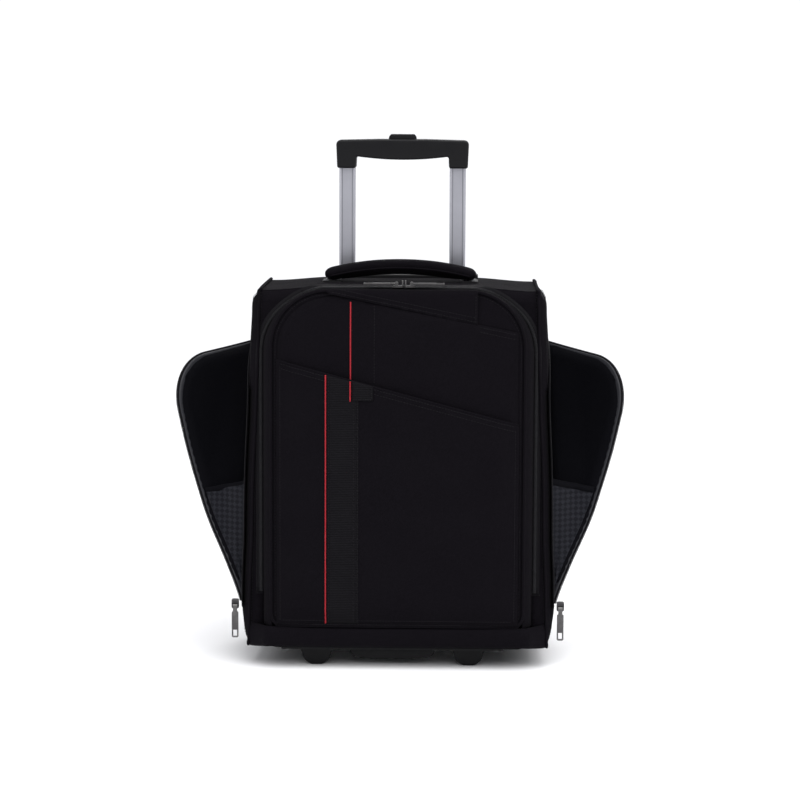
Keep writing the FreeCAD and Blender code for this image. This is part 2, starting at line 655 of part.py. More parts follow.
def make_grip():
    """The moulded cross grip, hollow for the release bar, with the button in its top."""
    body = doc.addObject("PartDesign::Body", "grip_body")
    profile = sketch_on(body, "XZ", "-(post_y + grip_deep/2)")
    leg = "grip_half - grip_leg"
    polygon(profile, [
        ("-grip_half + 1", "grip_low"), (f"-({leg})", "grip_low"), (f"-({leg}) + 2.5", "grip_bow + 3"),
        ("-28", "grip_bow"), ("28", "grip_bow"), (f"{leg} - 2.5", "grip_bow + 3"), (leg, "grip_low"),
        ("grip_half - 1", "grip_low"), ("grip_half", "grip_top - 2"), ("-grip_half", "grip_top - 2")])
    pad(body, profile, "grip_deep")
    crown = block("grip_crown", ("-grip_half + 6", "grip_half - 6"), ("post_y - grip_deep/2", "post_y + grip_deep/2"),
                  ("grip_top - 4", "grip_top"))
    shell = fuse("grip_shell", body, crown)
    shell = rounded("grip_round", shell, "5", lambda edge: runs_along(edge, 0) and edge.CenterOfMass.z > value("grip_top - 1"))
    tools = [block("grip_bar_space", ("-post_x - 5", "post_x + 5"), ("post_y - 4.5", "post_y + 4.5"),
                   ("grip_top - 17", "grip_top - 7")),
             block("grip_button_well", ("-button_half - 0.4", "button_half + 0.4"),
                   ("post_y - button_deep/2 - 0.4", "post_y + button_deep/2 + 0.4"), ("grip_top - 7", "grip_top + 1"))]
    for name, side in SIDES:
        x = f"{side}*post_x"
        tools.append(block(name + "_grip_socket", (f"{x} - upper_wide/2", f"{x} + upper_wide/2"),
                           ("post_y - upper_deep/2", "post_y + upper_deep/2"), ("grip_low - 1", "upper_high")))
        tools.append(rod(name + "_grip_rod_hole", "2.3", "8", (x, "post_y", "upper_high - 1"), "z"))
    sub_part("pull_grip", cut("pull_grip", shell, *tools))

    cap = block("button_cap", ("-button_half", "button_half"), ("post_y - button_deep/2", "post_y + button_deep/2"),
                ("grip_top - 2", "button_top"))
    cap = rounded("button_round", cap, "2", lambda edge: edge.CenterOfMass.z > value("button_top - 5"))
    stem = block("button_stem", ("-8", "8"), ("post_y - 3", "post_y + 3"), ("grip_top - 8", "grip_top - 2"))
    sub_part("release_button", fuse("release_button", cap, stem))

    bar = block("release_bar", ("-post_x - 3", "post_x + 3"), ("post_y - 3", "post_y + 3"),
                ("grip_top - 12", "grip_top - 8"))
    rods = [rod(name + "_push_rod", "1.8", "grip_top - 10 - (lock_height + 7)",
                (f"{side}*post_x", "post_y", "lock_height + 7"), "z") for name, side in SIDES]
    sub_part("push_rods", fuse("push_rods", bar, *rods))


def make_handle_mountings():
    plate = block("bezel_plate", ("-post_x - 26", "post_x + 26"), ("post_y - 15", "case_rear - 1"),
                  ("case_top", "case_top + 5"))
    plate = rounded("bezel_round", plate, "6", lambda edge: runs_along(edge, 2))
    plate = rounded("bezel_soft", plate, "2", lambda edge: edge.CenterOfMass.z > value("case_top + 4.9"))
    slots = [block(name + "_bezel_slot", (f"{side}*post_x - middle_wide/2 - 0.5", f"{side}*post_x + middle_wide/2 + 0.5"),
                   ("post_y - middle_deep/2 - 0.5", "post_y + middle_deep/2 + 0.5"), ("case_top - 1", "case_top + 6"))
             for name, side in SIDES]
    sub_part("handle_bezel", cut("handle_bezel", plate, *slots))
    foot = block("bracket_block", ("-post_x - 19", "post_x + 19"), ("post_y - outer_deep/2 - 2", "case_rear - board"),
                 ("case_low + board", "outer_low"))
    sub_part("handle_base_bracket", rounded("handle_base_bracket", foot, "3", lambda edge: runs_along(edge, 2)))


# ---------------------------------------------------------------- carry handle


def make_carry_handle():
    rise = "(carry_top - carry_low)"
    radius = f"(carry_half*carry_half + {rise}*{rise})/(2*{rise})"
    under_half, under_rise = "(carry_half - 14)", "(carry_under - carry_low)"
    under = f"({under_half}*{under_half} + {under_rise}*{under_rise})/(2*{under_rise})"
    ends = ("-carry_deep/2", "carry_deep/2")
    arc = rod("carry_arc", radius, "carry_deep", ("0", ends[0], f"carry_top - {radius}"), "y")
    hollow = rod("carry_hollow", under, "carry_deep + 2", ("0", "-carry_deep/2 - 1", f"carry_under - {under}"), "y")
    limits = block("carry_limits", ("-carry_half", "carry_half"), ends, ("carry_low", "carry_top + 1"))
    bow = doc.addObject("Part::Common", "carry_bow")
    bow.Base, bow.Tool = arc, limits
    sub_part("carry_handle_grip", cut("carry_handle_grip", bow, hollow))

    straps, caps, rivets = [], [], []
    for name, side in SIDES:
        low, high = outward(side, "carry_half - 10", "carry_half - 7")
        leg = block(name + "_strap_leg", (low, high), ("3 - carry_deep/2", "carry_deep/2 - 3"),
                    ("carry_low - 21", "carry_low"))
        low, high = outward(side, "carry_half - 14", "carry_half - 3")
        bar = block(name + "_strap_bar", (low, high), ("2 - carry_deep/2", "carry_deep/2 - 2"),
                    ("carry_low - 24", "carry_low - 21"))
        straps.append(fuse(name + "_strap", leg, bar))
        low, high = outward(side, "carry_half - 16", "carry_half + 6")
        cap = block(name + "_cap", (low, high), ("-carry_deep/2 - 2", "carry_deep/2 + 2"),
                    ("case_top", "case_top + 3"))
        cap = rounded(name + "_cap_round", cap, "4", lambda edge: runs_along(edge, 2))
        low, high = outward(side, "carry_half - 11", "carry_half - 6")
        slot = block(name + "_cap_slot", (low, high), ("2 - carry_deep/2", "carry_deep/2 - 2"),
                     ("case_top - 1", "case_top + 4"))
        caps.append(cut(name + "_end_cap", cap, slot))
        for number, y in enumerate((-11, 11)):
            at = (f"{side}*(carry_half + 1)", str(y))
            head = rod(f"{name}_rivet_head_{number}", "3", "0.8", (*at, "case_top + 3"), "z")
            shank = rod(f"{name}_rivet_shank_{number}", "1.6", "9", (*at, "case_top - 6"), "z")
            rivets.append(fuse(f"{name}_rivet_{number}", head, shank))
    sub_part("carry_handle_strap", group("carry_handle_strap", *straps))
    sub_part("carry_handle_end_caps", group("carry_handle_end_caps", *caps))
    return rivets


# ---------------------------------------------------------------- running gear and feet


def make_wheels():
    housings, axles = [], []
    for name, side in SIDES:
        x = f"{side}*wheel_x"
        shell = block(name + "_housing_block", (f"{x} - housing_half", f"{x} + housing_half"),
                      ("housing_front", "case_rear + 2"), ("7", "housing_high"))
        shell = rounded(name + "_housing_round", shell, "6", lambda edge: runs_along(edge, 0) or runs_along(edge, 2))
        well = rod(name + "_wheel_well", "wheel_radius + 3", "wheel_width + 4",
                   (f"{x} - wheel_width/2 - 2", "wheel_y", "wheel_radius"), "x")
        bore = rod(name + "_axle_bore", "axle_radius", "2*housing_half + 2",
                   (f"{x} - housing_half - 1", "wheel_y", "wheel_radius"), "x")
        housings.append(cut(name + "_wheel_housing", shell, well, bore))
        axles.append(rod(name + "_axle", "axle_radius", "2*housing_half - 2",
                         (f"{x} - housing_half + 1", "wheel_y", "wheel_radius"), "x"))
        make_wheel(name, side)
    sub_part("wheel_housings", group("wheel_housings", *housings))
    sub_part("wheel_axles", group("wheel_axles", *axles))


def make_wheel(name, side):
    """A soft tyre moulded on a hub. Both are turned about the X axis through the axle."""
    half = "wheel_width/2"
    for kind, profile in (
        ("tyre", [(f"-{half}", "hub_radius"), (half, "hub_radius"), (half, "wheel_radius - 3"),
                  (f"{half} - 3", "wheel_radius - 0.4"), ("4", "wheel_radius"), ("-4", "wheel_radius"),
                  (f"3 - {half}", "wheel_radius - 0.4"), (f"-{half}", "wheel_radius - 3")]),
        ("hub", [(f"-{half} - 1", "axle_radius + 0.05"), (f"{half} + 1", "axle_radius + 0.05"),
                 (f"{half} + 1", "8"), (f"{half} - 3", "9"), (f"{half} - 3", "15"), (half, "16"),
                 (half, "hub_radius"), (f"-{half}", "hub_radius"), (f"-{half}", "16"),
                 (f"3 - {half}", "15"), (f"3 - {half}", "9"), (f"-{half} - 1", "8")]),
    ):
        body = new_body(f"{name}_wheel_{kind}")
        outline = sketch_on(body, "XY", "0")
        polygon(outline, profile)
        turned = body.newObject("PartDesign::Revolution", body.Name + "_turned")
        turned.Profile = outline
        turned.ReferenceAxis = (outline, ["H_Axis"])
        turned.Angle = 360
        body.setExpression("Placement.Base.x", cells(f"{side}*wheel_x"))
        body.setExpression("Placement.Base.y", cells("wheel_y"))
        body.setExpression("Placement.Base.z", cells("wheel_radius"))


def make_feet():
    """A moulded plate under the front edge, with two feet and a wide bar between them."""
    plate = block("skid_block", ("skid_shift - skid_half", "skid_shift + skid_half"),
                  ("skid_front", "skid_front + 44"), ("skid_low", "case_low"))
    sub_part("front_skid_plate", rounded("skid_round", plate, "5", lambda edge: runs_along(edge, 2)))
    half_outline = [(21.5, "skid_low"), (18.6, 18), (17.3, 13), (16.3, 9), (13.8, 5), (9.8, 1.7), ("foot_flat", 0)]
    for name, side in SIDES:
        x = f"skid_shift + {side}*foot_x"
        slab(name + "_front_foot", "XZ", "skid_front + 11", "skid_front + 39",
             [(f"{x} - {u}", v) for u, v in half_outline] + [(f"{x} + {u}", v) for u, v in reversed(half_outline)])
    half_outline = [(51.5, "skid_low"), (50.5, 15), (46, 11), (38, 9), (20, 8)]
    slab("centre_skid_bar", "XZ", "skid_front + 8", "skid_front + 36",
         [(f"skid_shift - {u}", v) for u, v in half_outline]
         + [(f"skid_shift + {u}", v) for u, v in reversed(half_outline)])


def screw(name, x, y, head_z, upward):
    """A pan-head screw: its head sits at head_z, and its shank runs up or down from there."""
    if upward:
        head = rod(name + "_head", "3.2", "1.6", (x, y, f"({head_z}) - 1.6"), "z")
        shank = rod(name + "_shank", "1.6", "9", (x, y, f"({head_z}) - 0.5"), "z")
    else:
        head = rod(name + "_head", "3.2", "1.2", (x, y, head_z), "z")
        shank = rod(name + "_shank", "1.6", "9", (x, y, f"({head_z}) - 8.5"), "z")
    return fuse(name, head, shank)


def make_fixings(rivets):
    """The visible screws and the carry handle's rivets."""
    screws = list(rivets)
    for n, x in enumerate(("skid_shift - skid_half + 8", "skid_shift + skid_half - 8")):
        for k, y in enumerate(("skid_front + 9", "skid_front + 35")):
            screws.append(screw(f"skid_screw_{n}{k}", x, y, "skid_low", True))
    for n, x in enumerate(("-post_x - 21", "0", "post_x + 21")):
        screws.append(screw(f"bezel_screw_{n}", x, "post_y", "case_top + 5", False))
    sub_part("screws_and_rivets", group("screws_and_rivets", *screws))


# ---------------------------------------------------------------- the whole case

make_shell()
make_front_surround()
make_linings()
make_lid()
for side_name, side_sign in SIDES:
    make_flap(side_name, side_sign)
make_side_zips()
make_zip_pulls()
make_posts()
make_grip()
make_handle_mountings()
handle_rivets = make_carry_handle()
make_wheels()
make_feet()
make_fixings(handle_rivets)
doc.recompute()

for obj in doc.Objects:
    if "Invalid" in obj.State or "Error" in obj.State:
        raise RuntimeError(f"{obj.Name} ({obj.TypeId}) failed: {obj.State}")
for label, obj in parts.items():
    if obj.Shape.isNull() or not obj.Shape.isValid() or not obj.Shape.Solids:
        raise RuntimeError(f"{label} has no valid solid")

os.makedirs("parts", exist_ok=True)
for label, obj in parts.items():
    obj.Shape.exportStep(f"parts/{label}.step")
print(len(parts), "sub-parts")
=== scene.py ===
"""Looks of a soft rolling flight case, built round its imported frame.

Metres, with +Z up and the front facing -Y. The main zip is shut, both side flaps stand open and the
telescopic handle is up at its first lock. Each section below is one piece or one group of like pieces.
"""

import json
import math

import bmesh
import bpy
from mathutils import Matrix, Vector, noise
from mathutils.geometry import delaunay_2d_cdt


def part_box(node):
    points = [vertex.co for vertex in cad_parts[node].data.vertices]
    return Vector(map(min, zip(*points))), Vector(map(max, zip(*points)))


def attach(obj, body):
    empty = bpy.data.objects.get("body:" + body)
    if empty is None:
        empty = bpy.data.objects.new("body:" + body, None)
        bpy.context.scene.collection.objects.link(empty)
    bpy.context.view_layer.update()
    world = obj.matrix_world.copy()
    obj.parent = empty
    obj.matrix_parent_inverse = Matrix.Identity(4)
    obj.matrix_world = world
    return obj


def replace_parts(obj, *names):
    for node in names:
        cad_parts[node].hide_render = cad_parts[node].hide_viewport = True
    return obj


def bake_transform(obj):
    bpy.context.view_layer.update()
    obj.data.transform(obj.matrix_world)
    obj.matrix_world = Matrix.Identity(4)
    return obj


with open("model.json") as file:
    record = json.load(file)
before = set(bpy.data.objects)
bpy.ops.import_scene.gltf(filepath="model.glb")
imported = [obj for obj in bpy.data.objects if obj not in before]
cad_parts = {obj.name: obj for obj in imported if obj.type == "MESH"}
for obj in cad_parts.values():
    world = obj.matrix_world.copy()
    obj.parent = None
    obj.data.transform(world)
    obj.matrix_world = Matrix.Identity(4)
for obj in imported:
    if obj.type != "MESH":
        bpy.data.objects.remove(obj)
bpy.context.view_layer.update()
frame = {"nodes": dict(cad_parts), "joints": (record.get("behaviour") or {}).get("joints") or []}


# ---------------------------------------------------------------- camera, floor and light
# The case stands on a seamless pale floor, seen from the front and a little above.
# A wide soft light overhead does most of the work, and the walls of the room fill in.

azimuth, elevation, roll, distance = math.radians(1.5), math.radians(7.0), math.radians(0.25), 3.1
away = Vector((math.sin(azimuth) * math.cos(elevation), -math.cos(azimuth) * math.cos(elevation),
               math.sin(elevation)))
aim = Vector((0, 0, 0.314))
camera = bpy.data.objects.new("camera", bpy.data.cameras.new("camera"))
bpy.context.scene.collection.objects.link(camera)
camera_turn = (-away).to_track_quat("-Z", "Y").to_matrix().to_4x4()
camera.matrix_world = Matrix.Translation(aim + away * distance) @ camera_turn @ Matrix.Rotation(roll, 4, "Z")
camera.data.lens = 114.1
camera.data.clip_end = 80
bpy.context.scene.camera = camera
bpy.context.scene.view_settings.view_transform = "Standard"


def light(name, kind, strength, at, size):
    """A lamp at a point, turned to the case. size is a sun's spread in radians, or a panel's side in
    metres."""
    lamp = bpy.data.objects.new(name, bpy.data.lights.new(name, kind))
    bpy.context.scene.collection.objects.link(lamp)
    lamp.data.energy = strength
    lamp.location = at
    lamp.rotation_euler = (aim - Vector(at)).to_track_quat("-Z", "Y").to_euler()
    if kind == "SUN":
        lamp.data.angle = size
    else:
        lamp.data.size = size
    return lamp


light("overhead", "SUN", 3.0, (0.5, -2.2, 4.0), math.radians(70))
light("left_panel", "AREA", 16, (-2.2, -1.2, 1.3), 1.4)
light("right_panel", "AREA", 20, (2.2, -1.0, 1.5), 1.4)
light("rear_panel", "AREA", 22, (0.3, 1.6, 1.9), 1.2)

room = bpy.data.worlds.new("room")
bpy.context.scene.world = room
room.use_nodes = True
tree = room.node_tree
seen = tree.nodes.new("ShaderNodeBackground")
seen.inputs["Color"].default_value = (1, 1, 1, 1)
seen.inputs["Strength"].default_value = 1.05
fill = tree.nodes["Background"]
fill.inputs["Color"].default_value = (0.95, 0.96, 1.0, 1)
fill.inputs["Strength"].default_value = 0.42
pick = tree.nodes.new("ShaderNodeMixShader")
tree.links.new(tree.nodes.new("ShaderNodeLightPath").outputs["Is Camera Ray"], pick.inputs[0])
tree.links.new(fill.outputs[0], pick.inputs[1])
tree.links.new(seen.outputs[0], pick.inputs[2])
tree.links.new(pick.outputs[0], tree.nodes["World Output"].inputs["Surface"])

floor_half = 40
floor_mesh = bpy.data.meshes.new("floor")
floor_mesh.from_pydata([(-floor_half, -floor_half, 0), (floor_half, -floor_half, 0),
                        (floor_half, floor_half, 0), (-floor_half, floor_half, 0)], [], [(0, 1, 2, 3)])
floor = bpy.data.objects.new("floor", floor_mesh)
bpy.context.scene.collection.objects.link(floor)
floor_paint = bpy.data.materials.new("floor_paint")
floor_paint.use_nodes = True
floor_paint.node_tree.nodes["Principled BSDF"].inputs["Base Color"].default_value = (0.9, 0.9, 0.91, 1)
floor_paint.node_tree.nodes["Principled BSDF"].inputs["Roughness"].default_value = 0.7
floor_paint.node_tree.nodes["Principled BSDF"].inputs["Specular IOR Level"].default_value = 0.1
floor_mesh.materials.append(floor_paint)


# ---------------------------------------------------------------- the case's outer fabric
# A close-woven polyester, nearly black, over thin foam and board. The weave is a fine basket of
# threads with a little slub, and the cloth is faintly mottled where it has been handled.

def shader_group(name, takes, gives):
    """A node group with number inputs and outputs, and its two end nodes."""
    made = bpy.data.node_groups.new(name, "ShaderNodeTree")
    for label, start in takes.items():
        made.interface.new_socket(label, in_out="INPUT", socket_type="NodeSocketFloat").default_value = start
    for label in gives:
        made.interface.new_socket(label, in_out="OUTPUT", socket_type="NodeSocketFloat")
    return made, made.nodes.new("NodeGroupInput"), made.nodes.new("NodeGroupOutput")


def reckon(tree, kind, *given):
    """A Math node's result. What is given is sockets or plain numbers."""
    node = tree.nodes.new("ShaderNodeMath")
    node.operation = kind
    for socket, thing in zip(node.inputs, given):
        if isinstance(thing, bpy.types.NodeSocket):
            tree.links.new(thing, socket)
        else:
            socket.default_value = thing
    return node.outputs[0]


def cloudy(tree, size, detail=2.0, stretch=(1, 1, 1)):
    """Noise from 0 to 1 in the piece's own coordinates, with blots of about size metres."""
    where = tree.nodes.new("ShaderNodeMapping")
    where.inputs["Scale"].default_value = [1 / (size * s) for s in stretch]
    tree.links.new(tree.nodes.new("ShaderNodeTexCoord").outputs["Object"], where.inputs["Vector"])
    made = tree.nodes.new("ShaderNodeTexNoise")
    made.inputs["Scale"].default_value = 1.0
    made.inputs["Detail"].default_value = detail
    tree.links.new(where.outputs[0], made.inputs["Vector"])
    return made.outputs[0]


def flat_coordinates(tree):
    """Two coordinates that lie in whichever of the three main planes the surface is nearest to."""
    place = tree.nodes.new("ShaderNodeTexCoord")
    along = tree.nodes.new("ShaderNodeSeparateXYZ")
    tree.links.new(place.outputs["Object"], along.inputs[0])
    size = tree.nodes.new("ShaderNodeVectorMath")
    size.operation = "ABSOLUTE"
    tree.links.new(place.outputs["Normal"], size.inputs[0])
    faces = tree.nodes.new("ShaderNodeSeparateXYZ")
    tree.links.new(size.outputs[0], faces.inputs[0])
    x, y, z = faces.outputs
    sideways = reckon(tree, "GREATER_THAN", x, reckon(tree, "MAXIMUM", y, z))
    upward = reckon(tree, "GREATER_THAN", z, reckon(tree, "MAXIMUM", x, y))
    picked = []
    for first, second, which in ((along.outputs[0], along.outputs[1], sideways),
                                 (along.outputs[2], along.outputs[1], upward)):
        extra = reckon(tree, "MULTIPLY", reckon(tree, "SUBTRACT", second, first), which)
        picked.append(reckon(tree, "ADD", first, extra))
    return picked


weave, given, out = shader_group("weave", {"Pitch": 0.001}, ["Height", "Fleck", "Mottle"])
turns = reckon(weave, "DIVIDE", 2 * math.pi, given.outputs["Pitch"])
threads = [reckon(weave, "SINE", reckon(weave, "MULTIPLY", way, turns)) for way in flat_coordinates(weave)]
basket = reckon(weave, "MULTIPLY_ADD", reckon(weave, "MULTIPLY", *threads), 0.5, 0.5)
slub = cloudy(weave, 0.0022, 3.0)
weave.links.new(reckon(weave, "MULTIPLY_ADD", slub, 0.6, basket), out.inputs["Height"])
weave.links.new(reckon(weave, "MULTIPLY", slub, basket), out.inputs["Fleck"])
weave.links.new(cloudy(weave, 0.05, 3.0), out.inputs["Mottle"])


def surface(name, colour, second, roughness, group, values, colour_by, rough_by, bump, **sockets):
    """A Principled material. Its group's outputs named colour_by and rough_by mix the two colours and the
    two roughnesses, bump is (strength, distance) for the group's Height, and sockets are plain values."""
    made = bpy.data.materials.new(name)
    made.use_nodes = True
    tree = made.node_tree
    shader = tree.nodes["Principled BSDF"]
    effect = tree.nodes.new("ShaderNodeGroup")
    effect.node_tree = group
    for label, number in values.items():
        effect.inputs[label].default_value = number
    blend = tree.nodes.new("ShaderNodeMix")
    blend.data_type = "RGBA"
    blend.inputs[6].default_value = (*colour, 1)
    blend.inputs[7].default_value = (*second, 1)
    tree.links.new(effect.outputs[colour_by], blend.inputs[0])
    tree.links.new(blend.outputs[2], shader.inputs["Base Color"])
    rough = tree.nodes.new("ShaderNodeMapRange")
    rough.inputs["To Min"].default_value, rough.inputs["To Max"].default_value = roughness
    tree.links.new(effect.outputs[rough_by], rough.inputs["Value"])
    tree.links.new(rough.outputs[0], shader.inputs["Roughness"])
    lift = tree.nodes.new("ShaderNodeBump")
    lift.inputs["Strength"].default_value, lift.inputs["Distance"].default_value = bump
    tree.links.new(effect.outputs["Height"], lift.inputs["Height"])
    tree.links.new(lift.outputs[0], shader.inputs["Normal"])
    for label, number in sockets.items():
        shader.inputs[label.replace("_", " ")].default_value = number
    return made


shell_cloth = surface("shell_cloth", (0.0026, 0.0021, 0.0031), (0.0070, 0.0057, 0.0084), (0.72, 0.95), weave,
                      {"Pitch": 0.00125}, "Fleck", "Mottle", (0.55, 0.0004),
                      Specular_IOR_Level=0.04, Sheen_Weight=0.008, Sheen_Roughness=0.45)


# ---------------------------------------------------------------- shell panels
# The sides, top, back and front frame are cut from the outer fabric over foam and board, and meet in
# piped seams. Each is a sheet with a real thickness, swelling a little between its seams.

def dressed(name, bm, body, slot, *materials):
    """Makes a mesh piece of bm with the given materials, that rides on a body. slot is not used."""
    mesh = bpy.data.meshes.new(name)
    bmesh.ops.recalc_face_normals(bm, faces=bm.faces[:])
    bm.to_mesh(mesh)
    bm.free()
    mesh.shade_smooth()
    for material in materials:
        mesh.materials.append(material)
    made = bpy.data.objects.new(name, mesh)
    bpy.context.scene.collection.objects.link(made)
    if body:
        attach(made, body)
    return made


def ease(t):
    """0 to 1, level at both ends."""
    t = min(max(t, 0.0), 1.0)
    return t * t * (3 - 2 * t)


def through(*points):
    """A smooth function of one number through the points (number, size)."""
    def size(number):
        if number <= points[0][0]:
            return points[0][1]
        for (a, low), (b, high) in zip(points, points[1:]):
            if number <= b:
                share = (number - a) / (b - a)
                return low + (high - low) * (0.5 * ease(share) + 0.5 * share)
        return points[-1][1]
    return size


def divided(loop, step, closed=True):
    """The loop with extra points, so that none are further apart than step."""
    made = []
    ends = loop[1:] + loop[:1] if closed else loop[1:]
    for start, end in zip(loop, ends):
        start, end = Vector(start), Vector(end)
        count = max(1, math.ceil((end - start).length / step))
        made += [start.lerp(end, i / count) for i in range(count)]
    return made if closed else made + [Vector(loop[-1])]


def spaced(first, span, count):
    """Numbers from first to first + span, in count equal steps."""
    return [first + span * i / count for i in range(count + 1)]


def arc(centre, radius, first, last, count=9):
    """Points on an arc between two angles in degrees."""
    angles = [math.radians(angle) for angle in spaced(first, last - first, count - 1)]
    return [(centre[0] + radius * math.cos(a), centre[1] + radius * math.sin(a)) for a in angles]


def holds(loop, u, v):
    """True if the loop goes round the point."""
    hit = False
    for (u0, v0), (u1, v1) in zip(loop, loop[1:] + loop[:1]):
        if (v0 > v) != (v1 > v) and u < (u1 - u0) * (v - v0) / (v1 - v0) + u0:
            hit = not hit
    return hit


def cut_cloth(outline, outer, inward, holes=(), cell=0.007, lined=False):
    """A sheet with thickness, cut to an outline of (u, v) points less its holes.
    outer(u, v) places its face, and inward(u, v) is the step from the face to its back."""
    loops = [divided([tuple(p) for p in loop], cell * 0.7) for loop in (outline, *holes)]
    edges, points = [], []
    for loop in loops:
        first = len(points)
        points += loop
        edges += [(first + i, first + (i + 1) % len(loop)) for i in range(len(loop))]
    loops = [[tuple(p) for p in loop] for loop in loops]
    low = [min(p[i] for p in loops[0]) for i in (0, 1)]
    high = [max(p[i] for p in loops[0]) for i in (0, 1)]
    rim = [p for loop in loops for p in loop]
    near = {(round(u / cell), round(v / cell)) for u, v in rim}
    for row in range(1, int((high[1] - low[1]) / (cell * 0.87)) + 1):
        for column in range(int((high[0] - low[0]) / cell) + 1):
            u, v = low[0] + (column + 0.5 * (row % 2)) * cell, low[1] + row * cell * 0.87
            if (round(u / cell), round(v / cell)) in near:
                continue
            if holds(loops[0], u, v) and not any(holds(loop, u, v) for loop in loops[1:]):
                points.append(Vector((u, v)))
    places, _, triangles, _, _, _ = delaunay_2d_cdt(points, edges, [], 0, 1e-7)
    bm = bmesh.new()
    face = [bm.verts.new(outer(*p)) for p in places]
    back = [bm.verts.new(Vector(outer(*p)) + inward(*p)) for p in places]
    for corners in triangles:
        middle = sum((places[i] for i in corners), Vector((0, 0))) / len(corners)
        if holds(loops[0], *middle) and not any(holds(loop, *middle) for loop in loops[1:]):
            bm.faces.new([face[i] for i in corners])
            bm.faces.new([back[i] for i in reversed(corners)]).material_index = int(lined)
    partner = dict(zip(face, back))
    for edge in [e for e in bm.edges if len(e.link_faces) == 1 and e.verts[0] in partner]:
        a, b = edge.verts
        bm.faces.new([a, b, partner[b], partner[a]])
    bmesh.ops.delete(bm, geom=[v for v in bm.verts if not v.link_faces], context="VERTS")
    return bm


def steady(x, y, z):
    """The same step inward wherever it is asked for."""
    return lambda u, v: Vector((x, y, z))


def creased(place, size, height):
    """A little unevenness along y, as cloth over foam has: height metres over blots of size metres."""
    return height * noise.noise(Vector(place) / size)


# The shell's lines: half widths at the sewn edges and at the middle of the sides, by height.
front_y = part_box("front_surround")[0].y
rear_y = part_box("back_panel")[1].y
foot_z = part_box("back_panel")[0].z
crown_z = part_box("top_panel")[1].z
seam_half = through((0.026, 0.1800), (0.075, 0.1790), (0.200, 0.1752), (0.380, 0.1682), (0.436, 0.1666),
                    (0.450, 0.1655), (crown_z, 0.1632))
swollen_half = through((0.026, 0.1812), (0.045, 0.1870), (0.066, 0.1900), (0.080, 0.1902), (0.230, 0.1866),
                       (0.386, 0.1800), (0.430, 0.1770), (crown_z, 0.1762))
fold = 0.007
shoulder = 0.024


def side_half(z):
    """Half width at the middle of a side, which rolls over at the shoulder."""
    rise = max(0.0, z - (crown_z - shoulder)) / shoulder
    return swollen_half(z) - 0.0106 * (1 - math.sqrt(max(0.0, 1 - rise ** 2.2)))


def across_depth(y):
    """0 at the front and rear seams, rising quickly to 1 over the middle of a side."""
    t = min(1.0, abs((y - (front_y + rear_y) / 2) / ((rear_y - front_y) / 2)))
    return (1 - t ** 4.5) ** 0.3


def side_skin(y, z):
    """Distance of the side's cloth from the middle plane."""
    return seam_half(z) + (side_half(z) - seam_half(z)) * across_depth(y) + creased((y, z, 3), 0.06, 0.0007)


def front_skin(z):
    """The front frame's y: flat, and folding back over the top edge."""
    rise = max(0.0, z - (crown_z - fold))
    return front_y + fold - math.sqrt(max(0.0, fold * fold - rise * rise))


def front_edge(z):
    """Half width of the front frame, and of the back, out to the sides' cloth."""
    return side_skin(front_skin(z), z) - 0.0004


def sunk(x, y, z):
    """A point of the shell, let down where the top's soft corners sag."""
    sag = 0.0045 * ease((abs(x) - 0.085) / 0.075) * ease((z - 0.405) / (crown_z - 0.405))
    return Vector((x, y, z - sag))


def rounded_side(low, high, corner, foot_corner):
    """A side's outline in (y, z): a rectangle between the seams with round corners."""
    y0, y1 = front_y, rear_y
    return (arc((y0 + foot_corner, low + foot_corner), foot_corner, 180, 270)
            + arc((y1 - foot_corner, low + foot_corner), foot_corner, 270, 360)
            + arc((y1 - corner, high - corner), corner, 0, 90)
            + arc((y0 + corner, high - corner), corner, 90, 180))


def arch(half, low, high, corner):
    """The face's outline from its left foot over the top to its right foot, in (x, z)."""
    return ([(-half, low)] + arc((corner - half, high - corner), corner, 180, 90, 17)
            + arc((half - corner, high - corner), corner, 90, 0, 17) + [(half, low)])


# The side openings: a triangle whose front top corner is round.
SIDES = (("left", -1), ("right", 1))
flap_y, flap_back_y, flap_z, flap_top_z = -0.066, 0.074, 0.076, 0.380
flap_corner, flap_gap = 0.060, 0.002


def triangle(grow, fold_grow=None):
    """The flap's outline in (y, z), let out by grow at the zip and by fold_grow at the fold."""
    run = Vector((flap_back_y - flap_y, flap_top_z - flap_z))
    out = Vector((run.y, -run.x)).normalized() * (grow if fold_grow is None else fold_grow)
    start = Vector((flap_y, flap_z)) + out
    y, z = flap_y - grow, flap_top_z + grow
    foot = start + run * ((y - start.x) / run.x)
    head = start + run * ((z - start.y) / run.y)
    corner = flap_corner + grow
    return [tuple(foot)] + arc((y + corner, z - corner), corner, 180, 90, 15) + [tuple(head)]


cloth_thick = 0.0016
for name, side in SIDES:
    panel = cut_cloth(rounded_side(foot_z, crown_z, fold, 0.006),
                      lambda y, z: sunk(side * side_skin(y, z), y, z), steady(-side * cloth_thick, 0, 0),
                      [triangle(flap_gap, 0.0)])
    made = dressed(name + "_side", panel, "case", "shell_fabric", shell_cloth)
    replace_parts(made, name + "_side_panel")


def top_edge(y):
    """Half width of the top between its piped edges."""
    return side_skin(y, crown_z) - 0.0005


def top_skin(x, y):
    """The top's height: a slight crown, dipping to the seams."""
    rise = ease(min(y - front_y - fold, rear_y - fold - y) / 0.05) * ease((top_edge(y) - abs(x)) / 0.04)
    return crown_z + 0.0010 * rise + creased((x, y, 7), 0.07, 0.0006) * rise


